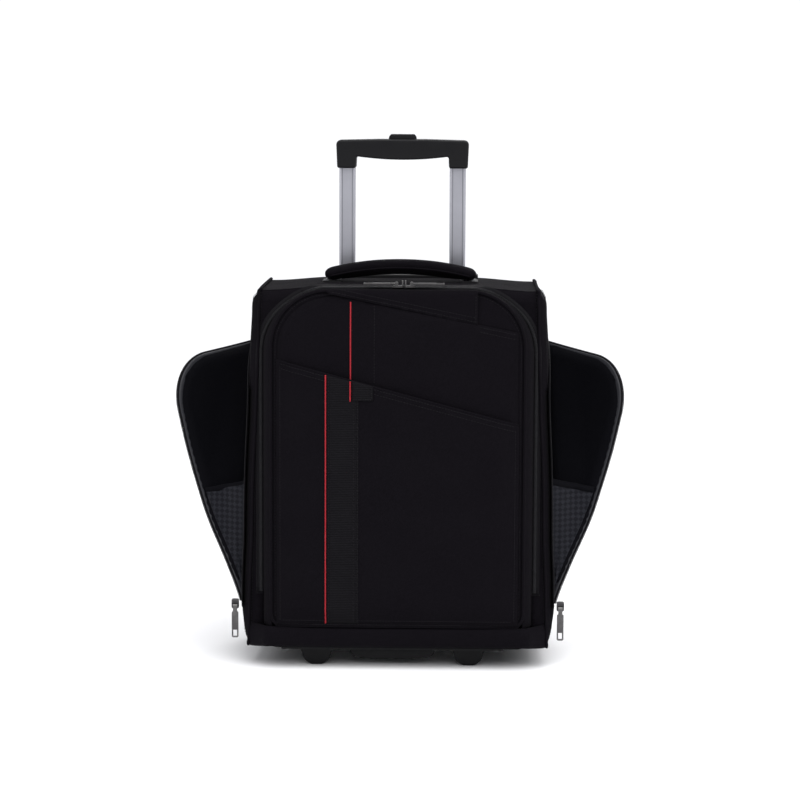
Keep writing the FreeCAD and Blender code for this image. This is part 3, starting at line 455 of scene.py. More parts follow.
top_depths = spaced(front_y + fold - 0.0006, rear_y - front_y - 2 * fold + 0.0012, 24)
top_outline = [(-top_edge(y), y) for y in reversed(top_depths)] + [(top_edge(y), y) for y in top_depths]
tube_x = 0.0684
tube_room = 0.0006
post_low, post_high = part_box("outer_tubes")
post_half = post_high.x - tube_x + tube_room
post_depth = post_high.y - post_low.y + 2 * tube_room
tube_holes = [[(s * tube_x + a * post_half, post_low.y - tube_room + b * post_depth)
               for a, b in ((-1, 0), (1, 0), (1, 1), (-1, 1))] for s in (-1, 1)]
top = cut_cloth(top_outline, lambda x, y: sunk(x, y, top_skin(x, y)), steady(0, 0, -cloth_thick), tube_holes)
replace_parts(dressed("top", top, "case", "shell_fabric", shell_cloth), "top_panel")

# The back is one panel with notches for the wheel housings.
housing_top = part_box("wheel_housings")[1].z
housing_in, housing_out = 0.103, 0.147
heights = [foot_z + (crown_z - fold - foot_z) * i / 24 for i in range(24)]
heights += [crown_z - fold * (1 - i / 8) for i in range(9)]
back_outline = [(front_edge(z), z) for z in heights] + [(-front_edge(z), z) for z in reversed(heights)]
for s in (-1, 1):
    back_outline += [(s * housing_out, foot_z), (s * housing_out, housing_top), (s * housing_in, housing_top),
                     (s * housing_in, foot_z)][::-s]


def back_skin(x, z):
    """The back's y: nearly flat, standing out a little over the handle's tubes."""
    rise = ease((seam_half(z) - abs(x)) / 0.03) * ease((crown_z - z) / 0.03) * ease((z - foot_z) / 0.04)
    tubes = ease(1 - abs(abs(x) - tube_x) / 0.026)
    drop = max(0.0, z - (crown_z - fold))
    turned = fold - math.sqrt(max(0.0, fold * fold - drop * drop))
    return rear_y + (0.0008 + 0.0022 * tubes + creased((x, z, 5), 0.06, 0.0006)) * rise - turned


back = cut_cloth(back_outline, lambda x, z: sunk(x, back_skin(x, z), z), steady(0, -cloth_thick, 0))
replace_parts(dressed("back", back, "case", "shell_fabric", shell_cloth), "back_panel")

# The frame round the lid, with the lid's opening in it. It folds back over the top edge.
rim_half, rim_top, rim_corner = 0.1600, 0.4545, 0.0745
steps = [foot_z + 0.010] + [z for z in heights if z > foot_z + 0.02]
frame_outline = ([(-front_edge(z), z) for z in reversed(steps)]
                 + arch(rim_half, steps[0], rim_top, rim_corner) + [(front_edge(z), z) for z in steps])
surround = cut_cloth(frame_outline,
                     lambda x, z: sunk(x, front_skin(z) + creased((x, z, 1), 0.05, 0.0004), z),
                     steady(0, cloth_thick, 0), cell=0.006)
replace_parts(dressed("front_frame", surround, "case", "shell_fabric", shell_cloth), "front_surround")


# ---------------------------------------------------------------- piping round the sides
# A round cord in a folded bias strip of the shell's cloth, caught in the seams all round each side.

def sweep(bm, path, ups, section, closed=False, material=0):
    """Adds a strip along the path. section is (across, up) points, and ups is the outward way at each
    point."""
    rings = []
    for i, point in enumerate(path):
        before = path[i - 1] if closed or i else point
        after = path[(i + 1) % len(path)] if closed or i < len(path) - 1 else point
        along = (after - before).normalized()
        across = along.cross(ups[i]).normalized()
        up = across.cross(along)
        rings.append([bm.verts.new(point + across * a + up * b) for a, b in section])
    pairs = list(zip(rings, rings[1:] + rings[:1] if closed else rings[1:]))
    for ring, following in pairs:
        for k in range(len(section)):
            after = (k + 1) % len(section)
            quad = bm.faces.new([ring[k], ring[after], following[after], following[k]])
            quad.material_index = material
    if not closed:
        for ring in (rings[0], rings[-1]):
            bm.faces.new(ring).material_index = material


def ring_of(radius, middle=(0.0, 0.0), sides=10):
    """A round section."""
    angles = [math.tau * i / sides for i in range(sides)]
    return [(middle[0] + radius * math.cos(a), middle[1] + radius * math.sin(a)) for a in angles]


for name, side in SIDES:
    bm = bmesh.new()
    edge = divided(rounded_side(foot_z - 0.0006, crown_z + 0.0004, fold + 0.001, 0.0055), 0.006)
    path = [sunk(side * (side_skin(y, min(max(z, foot_z), crown_z)) - 0.0008), y, z) for y, z in edge]
    sweep(bm, path, [Vector((side, 0, 0))] * len(path), ring_of(0.0019, (side * 0.0011, 0.0)),
          closed=True)
    made = dressed(name + "_piping", bm, "case", "shell_fabric", shell_cloth)
    if side > 0:
        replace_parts(made, "side_piping")


# ---------------------------------------------------------------- lower front band
# A padded strip of the same cloth under the lid, sewn along both edges, carried round to the side seams.

def quilt(bm, rows, closed=False, material=0):
    """Adds a surface through rows of points, and returns its vertices."""
    grid = [[bm.verts.new(point) for point in row] for row in rows]
    for row, following in zip(grid, grid[1:] + grid[:1] if closed else grid[1:]):
        for a, b, c, d in zip(row, row[1:], following[1:], following):
            bm.faces.new([a, b, c, d]).material_index = material
    return grid


def bind_edges(bm, face, back):
    """Closes the four edges between a quilted piece's face and its back."""
    for i in range(len(face) - 1):
        for k in (0, -1):
            bm.faces.new([face[i][k], face[i + 1][k], back[i + 1][k], back[i][k]])
    for i in (0, -1):
        for k in range(len(face[0]) - 1):
            bm.faces.new([face[i][k], face[i][k + 1], back[i][k + 1], back[i][k]])


face_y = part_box("lid_panel")[0].y
lid_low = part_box("lid_panel")[0].z
face_half = 0.150
band_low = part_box("front_lower_band")[0].z - 0.0012
band_corner = 0.162
plan = ([(-0.1785, front_y + 0.002)] + arc((0.012 - band_corner, face_y + 0.012), 0.012, 212, 270, 7)
        + arc((band_corner - 0.012, face_y + 0.012), 0.012, 270, 328, 7) + [(0.1785, front_y + 0.002)])
plan = divided(plan, 0.006, closed=False)


def band_rows(low, high, swell, inset=0.0):
    """Rows of points up the band, for each point of its plan."""
    made = []
    for i, point in enumerate(plan):
        along = (plan[min(i + 1, len(plan) - 1)] - plan[max(i - 1, 0)]).normalized()
        out = Vector((along.y, -along.x, 0))
        row, foot = [], low - 0.0040 * ease((abs(point.x) - 0.150) / 0.028)
        for k in range(9):
            t = k / 8
            puff = swell * math.sin(math.pi * t) ** 0.55 - inset
            puff += creased((point.x, t * 0.02, 9), 0.03, 0.0006) * math.sin(math.pi * t)
            row.append(Vector((point.x, point.y, foot + (high - foot) * t)) + out * puff)
        made.append(row)
    return made


bm = bmesh.new()
face = quilt(bm, band_rows(band_low, lid_low, 0.0030))
bind_edges(bm, face, quilt(bm, band_rows(band_low, lid_low, 0.0030, 0.0022)))
made = dressed("lower_band", bm, "case", "shell_fabric", shell_cloth)
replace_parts(made, "front_lower_band")


# ---------------------------------------------------------------- lid
# A foam-backed panel, a piped edge and a gusset that runs back to the main zip. It hinges along its foot.

face_top, face_corner = 0.4550, 0.067


def inside_arch(x, z, half, high, corner):
    """How far a point lies inside an arch's edge."""
    if abs(x) > half - corner and z > high - corner:
        return corner - math.hypot(abs(x) - (half - corner), z - (high - corner))
    return min(half - abs(x), high - z)


def face_skin(x, z):
    """The lid face's y."""
    depth = max(0.0, inside_arch(x, z, face_half, face_top, face_corner))
    return face_y - 0.0022 * ease(depth / 0.05) - creased((x, z, 2), 0.07, 0.0008) * ease(depth / 0.03)


face_outline = ([(-face_half, lid_low + 0.006)] + arch(face_half, lid_low + 0.012, face_top, face_corner)
                + [(face_half, lid_low + 0.006), (face_half - 0.006, lid_low), (0.006 - face_half, lid_low)])
panel = cut_cloth(face_outline, lambda x, z: Vector((x, face_skin(x, z), z)), steady(0, 0.003, 0))
made = dressed("lid_face", panel, "lid", "shell_fabric", shell_cloth)
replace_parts(made, "lid_panel")


def arch_run(half, low, high, corner, leg=34, over=22):
    """An arch's points in step with those of any other arch."""
    left = [(-half, low + (high - corner - low) * i / leg) for i in range(leg)]
    top = [(corner - half + 2 * (half - corner) * i / over, high) for i in range(1, over)]
    return (left + arc((corner - half, high - corner), corner, 180, 90, 17) + top
            + arc((half - corner, high - corner), corner, 90, 0, 17) + [(-x, z) for x, z in reversed(left)])


rim_y = -0.0797
inner_arch = arch_run(face_half + 0.0005, lid_low, face_top + 0.0004, face_corner)
outer_arch = arch_run(rim_half + 0.0010, lid_low, rim_top + 0.0008, rim_corner + 0.0010)
rows = []
for (x0, z0), (x1, z1) in zip(inner_arch, outer_arch):
    out = Vector((x1 - x0, 0, z1 - z0)).normalized()
    rows.append([Vector((x0, face_y + 0.001, z0)).lerp(Vector((x1, rim_y, z1)), k / 7)
                 + (out * 0.7 - Vector((0, 0.7, 0))) * 0.0026 * math.sin(math.pi * k / 7)
                 * (1 + 0.3 * noise.noise(Vector((x0, z0, 4)) / 0.05)) for k in range(8)])
bm = bmesh.new()
face = quilt(bm, rows)
inner = [[p + Vector((-math.copysign(0.0014, p.x), 0.0012, -0.0008)) for p in row] for row in rows]
bind_edges(bm, face, quilt(bm, inner))
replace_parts(dressed("lid_gusset", bm, "lid", "shell_fabric", shell_cloth), "lid_rim_band")

# The piped edge curls in where the lid's foot begins.
FORWARD = Vector((0, -1, 0))
bm = bmesh.new()
curl = 0.010
run = (arc((curl - face_half, lid_low + 0.004 + curl), curl, 250, 180, 7)
       + arch_run(face_half + 0.0005, lid_low + 0.016, face_top + 0.0005, face_corner + 0.0005)
       + arc((face_half - curl, lid_low + 0.004 + curl), curl, 0, -70, 7))
path = [Vector((x, face_y - 0.0006, z)) for x, z in run]
sweep(bm, path, [FORWARD] * len(path), ring_of(0.0018))
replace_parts(dressed("lid_edge_piping", bm, "lid", "shell_fabric", shell_cloth), "lid_piping")


# ---------------------------------------------------------------- pockets on the lid
# A flat upper pocket with a slanting mouth, a facing over its top, and a deep front pocket that stands
# proud. Each is one layer of the shell's cloth, hemmed at the mouth and sewn down at the other edges.

pocket_low_corner, pocket_high_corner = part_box("front_pocket_panel")
pocket_half, pocket_foot = pocket_high_corner.x, pocket_low_corner.z
mouth_left, mouth_right = pocket_high_corner.z, 0.297
pocket_stand = face_y - pocket_low_corner.y - 0.0012
pocket_slope = (mouth_right - mouth_left) / (2 * pocket_half)


def mouth(x):
    """Height of the front pocket's mouth."""
    return mouth_left + (x + pocket_half) * pocket_slope


def upper_skin(x, z):
    """The upper pocket's y."""
    return face_skin(x, z) - 0.0018


def pocket_skin(x, z):
    """The front pocket's y: sewn to the lid at its sides and foot, and slack at its mouth."""
    near = ease((pocket_half - abs(x)) / 0.022) * ease((z - pocket_foot) / 0.022)
    bow = math.sin(math.pi * (x + pocket_half) / (2 * pocket_half))
    slack = 0.0016 * ease((z - mouth(x) + 0.06) / 0.06) * bow
    return (face_y - 0.0026 - (pocket_stand - 0.0026) * near - creased((x, z, 6), 0.06, 0.0010) * near
            - slack * near)


upper_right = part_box("upper_pocket_panel")[1]
slant = [(-0.071, upper_right.z + 0.0005), (upper_right.x, 0.407)]
upper_outline = ([(-0.142, 0.120), (0.142, 0.120), slant[1], slant[0]]
                 + arc((-0.081, 0.386), 0.0615, 105, 180, 12))
panel = cut_cloth(upper_outline, lambda x, z: Vector((x, upper_skin(x, z), z)), steady(0, 0.0014, 0))
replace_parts(dressed("upper_pocket", panel, "lid", "shell_fabric", shell_cloth), "upper_pocket_panel")


def facing_skin(x, z):
    """The facing's y: it lies on the lid and goes over the piped edge."""
    return min(face_skin(x, z), face_y - 0.0012) - 0.0030 + 0.0010 * ease((0.446 - z) / 0.012)


facing_outline = [(-0.0860, 0.4566), (-0.0820, 0.4520), (0.0940, 0.4160), (0.0940, 0.4566)]
panel = cut_cloth(facing_outline, lambda x, z: Vector((x, facing_skin(x, z), z)), steady(0, 0.0012, 0),
                  cell=0.005)
dressed("top_facing", panel, "lid", "shell_fabric", shell_cloth)

pocket_outline = [(-pocket_half, pocket_foot), (pocket_half, pocket_foot), (pocket_half, mouth_right),
                  (-pocket_half, mouth_left)]
panel = cut_cloth(pocket_outline, lambda x, z: Vector((x, pocket_skin(x, z), z)), steady(0, cloth_thick, 0))
made = dressed("front_pocket", panel, "lid", "shell_fabric", shell_cloth)
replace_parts(made, "front_pocket_panel", "front_pocket_gusset")

# The mouth's hem: the cloth is turned in, so its edge is thick and round.
bm = bmesh.new()
path = [Vector((x, pocket_skin(x, mouth(x)) + 0.0010, mouth(x))) for x in
        spaced(-pocket_half, 2 * pocket_half, 60)]
sweep(bm, path, [FORWARD] * len(path), ring_of(0.0013))
dressed("front_pocket_hem", bm, "lid", "shell_fabric", shell_cloth)


# ---------------------------------------------------------------- ribbed band, tab and red piping
# A strip of ribbed webbing runs down the front pocket beside a fine red cord. A second, short red cord
# edges a tab at the pocket's mouth and carries on above it over the upper pocket.

ribs, given, out = shader_group("ribs", {"Pitch": 0.0018}, ["Height", "Rib", "Mottle"])
way = flat_coordinates(ribs)
turns = reckon(ribs, "DIVIDE", 2 * math.pi, given.outputs["Pitch"])
wave = reckon(ribs, "SINE", reckon(ribs, "MULTIPLY", way[1], turns))
ridge = reckon(ribs, "MULTIPLY_ADD", wave, 0.5, 0.5)
fuzz = cloudy(ribs, 0.0009, 2.0, (1, 1, 0.5))
ribs.links.new(reckon(ribs, "MULTIPLY_ADD", fuzz, 0.5, ridge), out.inputs["Height"])
ribs.links.new(reckon(ribs, "MULTIPLY", ridge, cloudy(ribs, 0.003)), out.inputs["Rib"])
ribs.links.new(cloudy(ribs, 0.04, 3.0), out.inputs["Mottle"])
webbing = surface("webbing", (0.0024, 0.0021, 0.0029), (0.0080, 0.0070, 0.0094), (0.6, 0.85), ribs,
                  {"Pitch": 0.0021}, "Rib", "Mottle", (0.7, 0.0006),
                  Specular_IOR_Level=0.07, Sheen_Weight=0.01, Sheen_Roughness=0.4)
red_satin = surface("red_satin", (0.24, 0.004, 0.010), (0.45, 0.014, 0.026), (0.35, 0.6), ribs,
                    {"Pitch": 0.0012}, "Rib", "Mottle", (0.5, 0.0003),
                    Specular_IOR_Level=0.25, Sheen_Weight=0.05, Sheen_Roughness=0.4)

accent_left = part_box("accent_band")[0].x
accent_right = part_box("accent_band")[1].x
red_x = accent_left - 0.0010
short_x = -0.0560


def strip(bm, x0, x1, low, high, skin, proud, columns=8, rows=60):
    """A flat strip laid on a surface: low and high are its ends' heights at x, and proud is its
    thickness."""
    grid = []
    for k in range(rows + 1):
        row = []
        for i in range(columns + 1):
            x = x0 + (x1 - x0) * i / columns
            z = low(x) + (high(x) - low(x)) * k / rows
            edge = 0.4 if i in (0, columns) or k in (0, rows) else 1.0
            row.append(Vector((x, skin(x, z) - proud * edge, z)))
        grid.append(row)
    quilt(bm, grid)
    ends = [grid[0], [row[-1] for row in grid], grid[-1][::-1], [row[0] for row in grid][::-1]]
    for line in ends:
        quilt(bm, [line, [p + Vector((0, proud * 0.6, 0)) for p in line]])
    quilt(bm, [[p + Vector((0, proud * 0.6, 0)) for p in row] for row in grid])
    bmesh.ops.remove_doubles(bm, verts=bm.verts[:], dist=1e-6)


bm = bmesh.new()
strip(bm, accent_left, accent_right, lambda x: pocket_foot + 0.001, lambda x: mouth(x) - 0.0005,
      pocket_skin, 0.0009)
made = dressed("ribbed_band", bm, "lid", "ribbed_webbing", webbing)
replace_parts(made, "accent_band")
bm = bmesh.new()
strip(bm, short_x + 0.0008, short_x + 0.0270, lambda x: mouth(short_x) - 0.0240, lambda x: mouth(x) + 0.0004,
      pocket_skin, 0.0022, 6, 14)
dressed("mouth_tab", bm, "lid", "ribbed_webbing", webbing)

bm = bmesh.new()
tab_top = mouth(short_x)
for x, low, high, skin, lift in ((red_x, pocket_foot + 0.001, mouth(red_x) - 0.001, pocket_skin, 0.0004),
                                 (short_x, tab_top - 0.0245, tab_top - 0.0005, pocket_skin, 0.0016),
                                 (short_x, tab_top - 0.004, 0.4425, upper_skin, 0.0003)):
    count = max(8, int((high - low) / 0.006))
    path = [Vector((x, skin(x, z) - lift, z)) for z in spaced(low, high - low, count)]
    sweep(bm, path, [FORWARD] * len(path), ring_of(0.00085))
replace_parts(dressed("red_piping", bm, "lid", "red_cord", red_satin), "accent_piping")


# ---------------------------------------------------------------- zips
# A woven tape with a nylon coil down its middle. The main zip runs up one side of the lid, over the top
# and down the other; half of each side zip is sewn round its opening and the other half is on the flap.

def evenly(path, ups, pitch):
    """Every pitch along the path: the point, the way along and the outward way."""
    left = pitch / 2
    for (start, end), (up0, up1) in zip(zip(path, path[1:]), zip(ups, ups[1:])):
        length = (end - start).length
        while left < length:
            share = left / length
            yield start.lerp(end, share), (end - start) / length, up0.lerp(up1, share).normalized()
            left += pitch
        left -= length


def bead(bm, at, long_way, up, half_length, half_width, half_height, material=0):
    """Adds a small rounded bar: one stitch, or one turn of a zip's coil."""
    across = long_way.cross(up).normalized()
    tips = [bm.verts.new(at + long_way * half_length * s) for s in (-1, 1)]
    section = ((1, -0.6), (1, 0.5), (0, 1), (-1, 0.5), (-1, -0.6))
    rings = [[bm.verts.new(at + long_way * half_length * s * 0.62 + across * half_width * a
                           + up * half_height * b) for a, b in section] for s in (-1, 1)]
    for k in range(5):
        after = (k + 1) % 5
        bm.faces.new([rings[0][k], rings[0][after], rings[1][after], rings[1][k]]).material_index = material
        for tip, ring in zip(tips, rings):
            bm.faces.new([tip, ring[k], ring[after]]).material_index = material


def stitches(bm, path, ups, pitch=0.0036, lift=0.0001):
    """Adds a row of lockstitches along the path."""
    for at, along, up in evenly(path, ups, pitch):
        bead(bm, at + up * lift, along, up, pitch * 0.36, 0.00032, 0.00026)


zip_tape = surface("zip_tape", (0.0030, 0.0027, 0.0036), (0.0085, 0.0078, 0.0098), (0.5, 0.75), weave,
                   {"Pitch": 0.0008}, "Fleck", "Mottle", (0.5, 0.0003), Specular_IOR_Level=0.08)
grain, given, out = shader_group("moulded_grain", {"Edge": 0.5}, ["Height", "Worn", "Smudge"])
edge_wear = grain.nodes.new("ShaderNodeNewGeometry").outputs["Pointiness"]
raised = reckon(grain, "MULTIPLY", reckon(grain, "SUBTRACT", edge_wear, given.outputs["Edge"]), 9.0)
rubbed = reckon(grain, "MULTIPLY", raised, cloudy(grain, 0.006, 3.0))
grain.links.new(reckon(grain, "MINIMUM", reckon(grain, "MAXIMUM", rubbed, 0.0), 1.0), out.inputs["Worn"])
fine, coarse = cloudy(grain, 0.0007, 2.0), reckon(grain, "MULTIPLY", cloudy(grain, 0.004), 0.3)
grain.links.new(reckon(grain, "MULTIPLY_ADD", fine, 0.7, coarse), out.inputs["Height"])
grain.links.new(cloudy(grain, 0.02, 4.0), out.inputs["Smudge"])
coil_nylon = surface("coil_nylon", (0.0050, 0.0048, 0.0058), (0.0120, 0.0118, 0.0135), (0.3, 0.5), grain,
                     {"Edge": 0.5}, "Worn", "Smudge", (0.2, 0.0001), Specular_IOR_Level=0.16)


def half_zip(bm, path, ups, tape, reach, lift=0.0):
    """Adds a zip along the path: a tape between its two edges, and a coil that reaches across it."""
    low, high = tape
    mids = sorted((low * 0.35 + high * 0.65, low * 0.65 + high * 0.35))
    sweep(bm, path, ups, [(low, lift - 0.0004), (high, lift - 0.0004), (high, lift + 0.0001),
                          (mids[1], lift + 0.0005), (mids[0], lift + 0.0005), (low, lift + 0.0001)])
    near, far = reach
    for at, along, up in evenly(path, ups, 0.00135):
        across = along.cross(up).normalized()
        middle = at + across * (near + far) / 2 + up * (lift + 0.0007)
        bead(bm, middle, across, up, abs(far - near) / 2, 0.00052, 0.00075, 1)


zip_half, zip_top = 0.1641, 0.4570
zip_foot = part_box("main_zip")[0].z
run = arch_run(zip_half, zip_foot, zip_top, 0.0785)
path, ups = [], []
for x, z in run:
    path.append(sunk(x, front_skin(z) - 0.0010, z))
    turn = front_skin(min(z + 0.0005, crown_z)) - front_skin(z - 0.0005)
    ups.append(Vector((0, -1, turn * 900)).normalized())
bm = bmesh.new()
half_zip(bm, path, ups, (-0.0062, 0.0062), (-0.0024, 0.0024))
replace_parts(dressed("main_zip_tape", bm, "case", "zip_nylon", zip_tape, coil_nylon), "main_zip")

side_paths = {}
bm = bmesh.new()
for name, side in SIDES:
    edge = divided(triangle(flap_gap + 0.0006, 0.0), 0.005, closed=False)
    path = [Vector((side * (side_skin(y, z) + 0.0003), y, z)) for y, z in edge]
    ups = [Vector((side, 0, 0))] * len(path)
    side_paths[name] = (path, ups)
    half_zip(bm, path, ups, (0.0005 * side, -0.0070 * side), (0.0018 * side, -0.0006 * side))
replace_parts(dressed("side_zip_tapes_sewn", bm, "case", "zip_nylon", zip_tape, coil_nylon), "side_zip_tapes")


# ---------------------------------------------------------------- stitching on the case
# Black lockstitch: beside every seam, along both edges of the zips and across their ends.

thread = surface("thread", (0.0060, 0.0054, 0.0068), (0.0150, 0.0138, 0.0165), (0.45, 0.65), ribs,
                 {"Pitch": 0.0005}, "Rib", "Mottle", (0.4, 0.0001), Specular_IOR_Level=0.10)


def on_front(points, skin, lift=0.0001, place=lambda x, y, z: Vector((x, y, z))):
    """The points (x, z) laid on a front surface, with their outward ways."""
    return [place(x, skin(x, z) - lift, z) for x, z in points], [FORWARD] * len(points)


bm = bmesh.new()
for inset in (-0.0054, 0.0054):
    run = arch_run(zip_half + inset, zip_foot, min(zip_top + inset, crown_z - 0.0006), 0.0785 + inset)
    stitches(bm, *on_front(run, lambda x, z: front_skin(z) - 0.0014, place=sunk))
for side in (-1, 1):
    for k in range(3):
        run = [(x, zip_foot - 0.0006 - 0.0011 * k) for x in spaced(side * zip_half - 0.0068, 0.0136, 8)]
        stitches(bm, *on_front(run, lambda x, z: front_skin(z) - 0.0012), pitch=0.0016)
    run = [(side * (front_edge(z) - 0.0030), z) for z in steps[:-3]]
    stitches(bm, *on_front(run, lambda x, z: front_skin(z) - 0.0002, place=sunk))
for name, side in SIDES:
    middle_y, ring = (front_y + rear_y) / 2, []
    for y, z in divided(rounded_side(foot_z + 0.006, crown_z - 0.010, 0.012, 0.012), 0.006):
        y = middle_y + (y - middle_y) * 0.93
        ring.append(sunk(side * (side_skin(y, z) + 0.0002), y, z))
    stitches(bm, ring, [Vector((side, 0, 0))] * len(ring))
    path, ups = side_paths[name]
    shifted = []
    for i, point in enumerate(path):
        along = (path[min(i + 1, len(path) - 1)] - path[max(i - 1, 0)]).normalized()
        at = point - along.cross(ups[i]).normalized() * 0.0050 * side
        shifted.append(Vector((side * (side_skin(at.y, at.z) + 0.0008), at.y, at.z)))
    stitches(bm, shifted, ups)
    for s in (-1, 1):
        x = side * tube_x + s * 0.0290
        line = [Vector((x, back_skin(x, z) + 0.0002, z)) for z in spaced(0.075, 0.37, 50)]
        stitches(bm, line, [Vector((0, 1, 0))] * len(line))
for t in (0.0032, 0.0068):
    line = [sunk(x, front_y + fold + t, top_skin(x, front_y + fold + t) + 0.0002)
            for x in spaced(-0.150, 0.300, 60)]
    stitches(bm, line, [Vector((0, 0, 1))] * len(line))
dressed("case_stitching", bm, "case", "shell_fabric", thread)


# ---------------------------------------------------------------- stitching on the lid
# Rows beside the piped edge, round the pockets, twice along each pocket's mouth and down the ribbed band.

bm = bmesh.new()
stitches(bm, *on_front(arch_run(face_half - 0.0045, lid_low + 0.012, face_top - 0.0045, face_corner - 0.0045),
                       face_skin))
run = [(x, lid_low + 0.0035) for x in spaced(-0.138, 0.276, 40)]
stitches(bm, *on_front(run, face_skin))
(slant_x, slant_z), (slant_end_x, slant_end_z) = slant
for below in (0.0030, 0.0085):
    run = [(x, mouth(x) - below) for x in spaced(-0.139, 0.278, 60)]
    stitches(bm, *on_front(run, pocket_skin))
    run = [(x, slant_z + (x - slant_x) * (slant_end_z - slant_z) / (slant_end_x - slant_x) - below)
           for x in spaced(0.0965, 0.044, 12)]
    stitches(bm, *on_front(run, upper_skin))
    run = [(-0.0780 + 0.1700 * i / 40, 0.4512 - 0.0345 * i / 40 + below * 0.9) for i in range(41)]
    stitches(bm, *on_front(run, facing_skin))
run = [(0.0915, z) for z in spaced(0.418, 0.033, 10)]
stitches(bm, *on_front(run, facing_skin))
for run in ([(-0.1395, z) for z in spaced(pocket_foot + 0.004, mouth_left - pocket_foot - 0.012, 60)],
            [(0.1395, z) for z in spaced(mouth_right - 0.006, -(mouth_right - pocket_foot - 0.01), 60)],
            [(x, pocket_foot + 0.0045) for x in spaced(-0.137, 0.274, 50)]):
    stitches(bm, *on_front(run, pocket_skin))
for x, lift in ((accent_left + 0.0026, 0.0011), (accent_right - 0.0014, 0.0010),
                (accent_right - 0.0060, 0.0011)):
    run = [(x, z) for z in spaced(pocket_foot + 0.003, mouth(x) - pocket_foot - 0.006, 60)]
    stitches(bm, *on_front(run, pocket_skin, lift))
run = [(-0.0280, z) for z in spaced(mouth(-0.028) + 0.003, 0.436 - mouth(-0.028), 20)]
stitches(bm, *on_front(run, upper_skin))
for run in ([(x, tab_top - 0.0221) for x in spaced(short_x + 0.0030, 0.0220, 8)],
            [(short_x + 0.0250, z) for z in spaced(tab_top - 0.0216, 0.0145, 8)]):
    stitches(bm, *on_front(run, pocket_skin, 0.0023), pitch=0.0028)
dressed("lid_stitching", bm, "lid", "shell_fabric", thread)


# ---------------------------------------------------------------- side flaps
# Padded triangles of the same cloth, lined inside, that hang open from their slanting folds. The free
# edge carries its half of the zip outside and a dark satin binding inside, whose pale grey is a painted
# reflection.

printed, given, out = shader_group("printed_lining", {"Pitch": 0.012}, ["Height", "Print", "Mottle"])
u, v = flat_coordinates(printed)
per = given.outputs["Pitch"]
stripes = []
for kind in ("ADD", "SUBTRACT"):
    slanting = reckon(printed, "FRACT", reckon(printed, "DIVIDE", reckon(printed, kind, u, v), per))
    from_line = reckon(printed, "ABSOLUTE", reckon(printed, "SUBTRACT", slanting, 0.5))
    stripes.append(reckon(printed, "LESS_THAN", from_line, 0.24))
marks = reckon(printed, "ABSOLUTE", reckon(printed, "SUBTRACT", *stripes))
printed.links.new(reckon(printed, "MULTIPLY", marks, reckon(printed, "ADD", cloudy(printed, 0.004), 0.3)),
                  out.inputs["Print"])
threads = [reckon(printed, "SINE", reckon(printed, "MULTIPLY", way, 2 * math.pi / 0.0006)) for way in (u, v)]
printed.links.new(reckon(printed, "ADD", reckon(printed, "MULTIPLY", *threads), cloudy(printed, 0.02, 2.0)),
                  out.inputs["Height"])
printed.links.new(cloudy(printed, 0.05, 3.0), out.inputs["Mottle"])
lining_cloth = surface("lining_cloth", (0.0058, 0.0062, 0.0088), (0.0150, 0.0155, 0.0200), (0.55, 0.8),
                       printed, {"Pitch": 0.013}, "Print", "Mottle", (0.35, 0.0004), Specular_IOR_Level=0.07,
                       Sheen_Weight=0.02)
plain_lining = surface("plain_lining", (0.0013, 0.0013, 0.0022), (0.0040, 0.0040, 0.0060), (0.6, 0.85), weave,
                       {"Pitch": 0.0008}, "Fleck", "Mottle", (0.4, 0.0003), Specular_IOR_Level=0.04,
                       Sheen_Weight=0.01)
# The binding's pale grey colour is a painted reflection of the light on dark satin.
binding_painted_reflection = surface("binding_painted_reflection", (0.0130, 0.0132, 0.0165), (0.0300, 0.0305, 0.0360), (0.35, 0.55),
                        ribs, {"Pitch": 0.0010}, "Rib", "Mottle", (0.4, 0.0002), Specular_IOR_Level=0.25,
                        Sheen_Weight=0.03)

joints = {joint["name"]: joint for joint in frame["joints"]}
fold_foot, fold_head = Vector((flap_y, flap_z)), Vector((flap_back_y, flap_top_z))
fold_run = (fold_head - fold_foot).normalized()
flap_reach = (Vector((flap_y, flap_top_z)) - fold_foot).dot(Vector((-fold_run.y, fold_run.x)))
pad_depth = 0.0050


def flap_turn(name):
    """The turn that opens a shut flap as far as it stands open at rest."""
    hinge = joints[name + "_flap_fold"]
    pivot = Vector(hinge["pos_m"])
    turn = Matrix.Rotation(math.radians(-hinge["range_deg"][0]), 4, Vector(hinge["axis"]))
    return Matrix.Translation(pivot) @ turn @ Matrix.Translation(-pivot)


def from_fold(y, z):
    """How far a point of the shut flap lies in front of the fold."""
    return (Vector((y, z)) - fold_foot).dot(Vector((-fold_run.y, fold_run.x)))


def belly(y, z):
    """How far the open flap's cloth swells outward: most halfway up its free edge, nothing at the fold."""
    up = min(max((z - flap_z) / (flap_top_z - flap_z), 0.0), 1.0)
    reach = max(0.0, from_fold(y, z)) / flap_reach
    return (0.013 * math.sin(math.pi * up ** 0.8) * ease(reach * 2.4)
            + 0.006 * math.sin(math.pi * min(1.0, reach)) * up
            + creased((y, z, 8), 0.07, 0.0010) * ease(reach * 5))


def flap_flat(z):
    """Distance of the shut flap's flat line from the middle plane."""
    return 0.1810 + (flap_top_z - z) * 0.009 / (flap_top_z - flap_z)


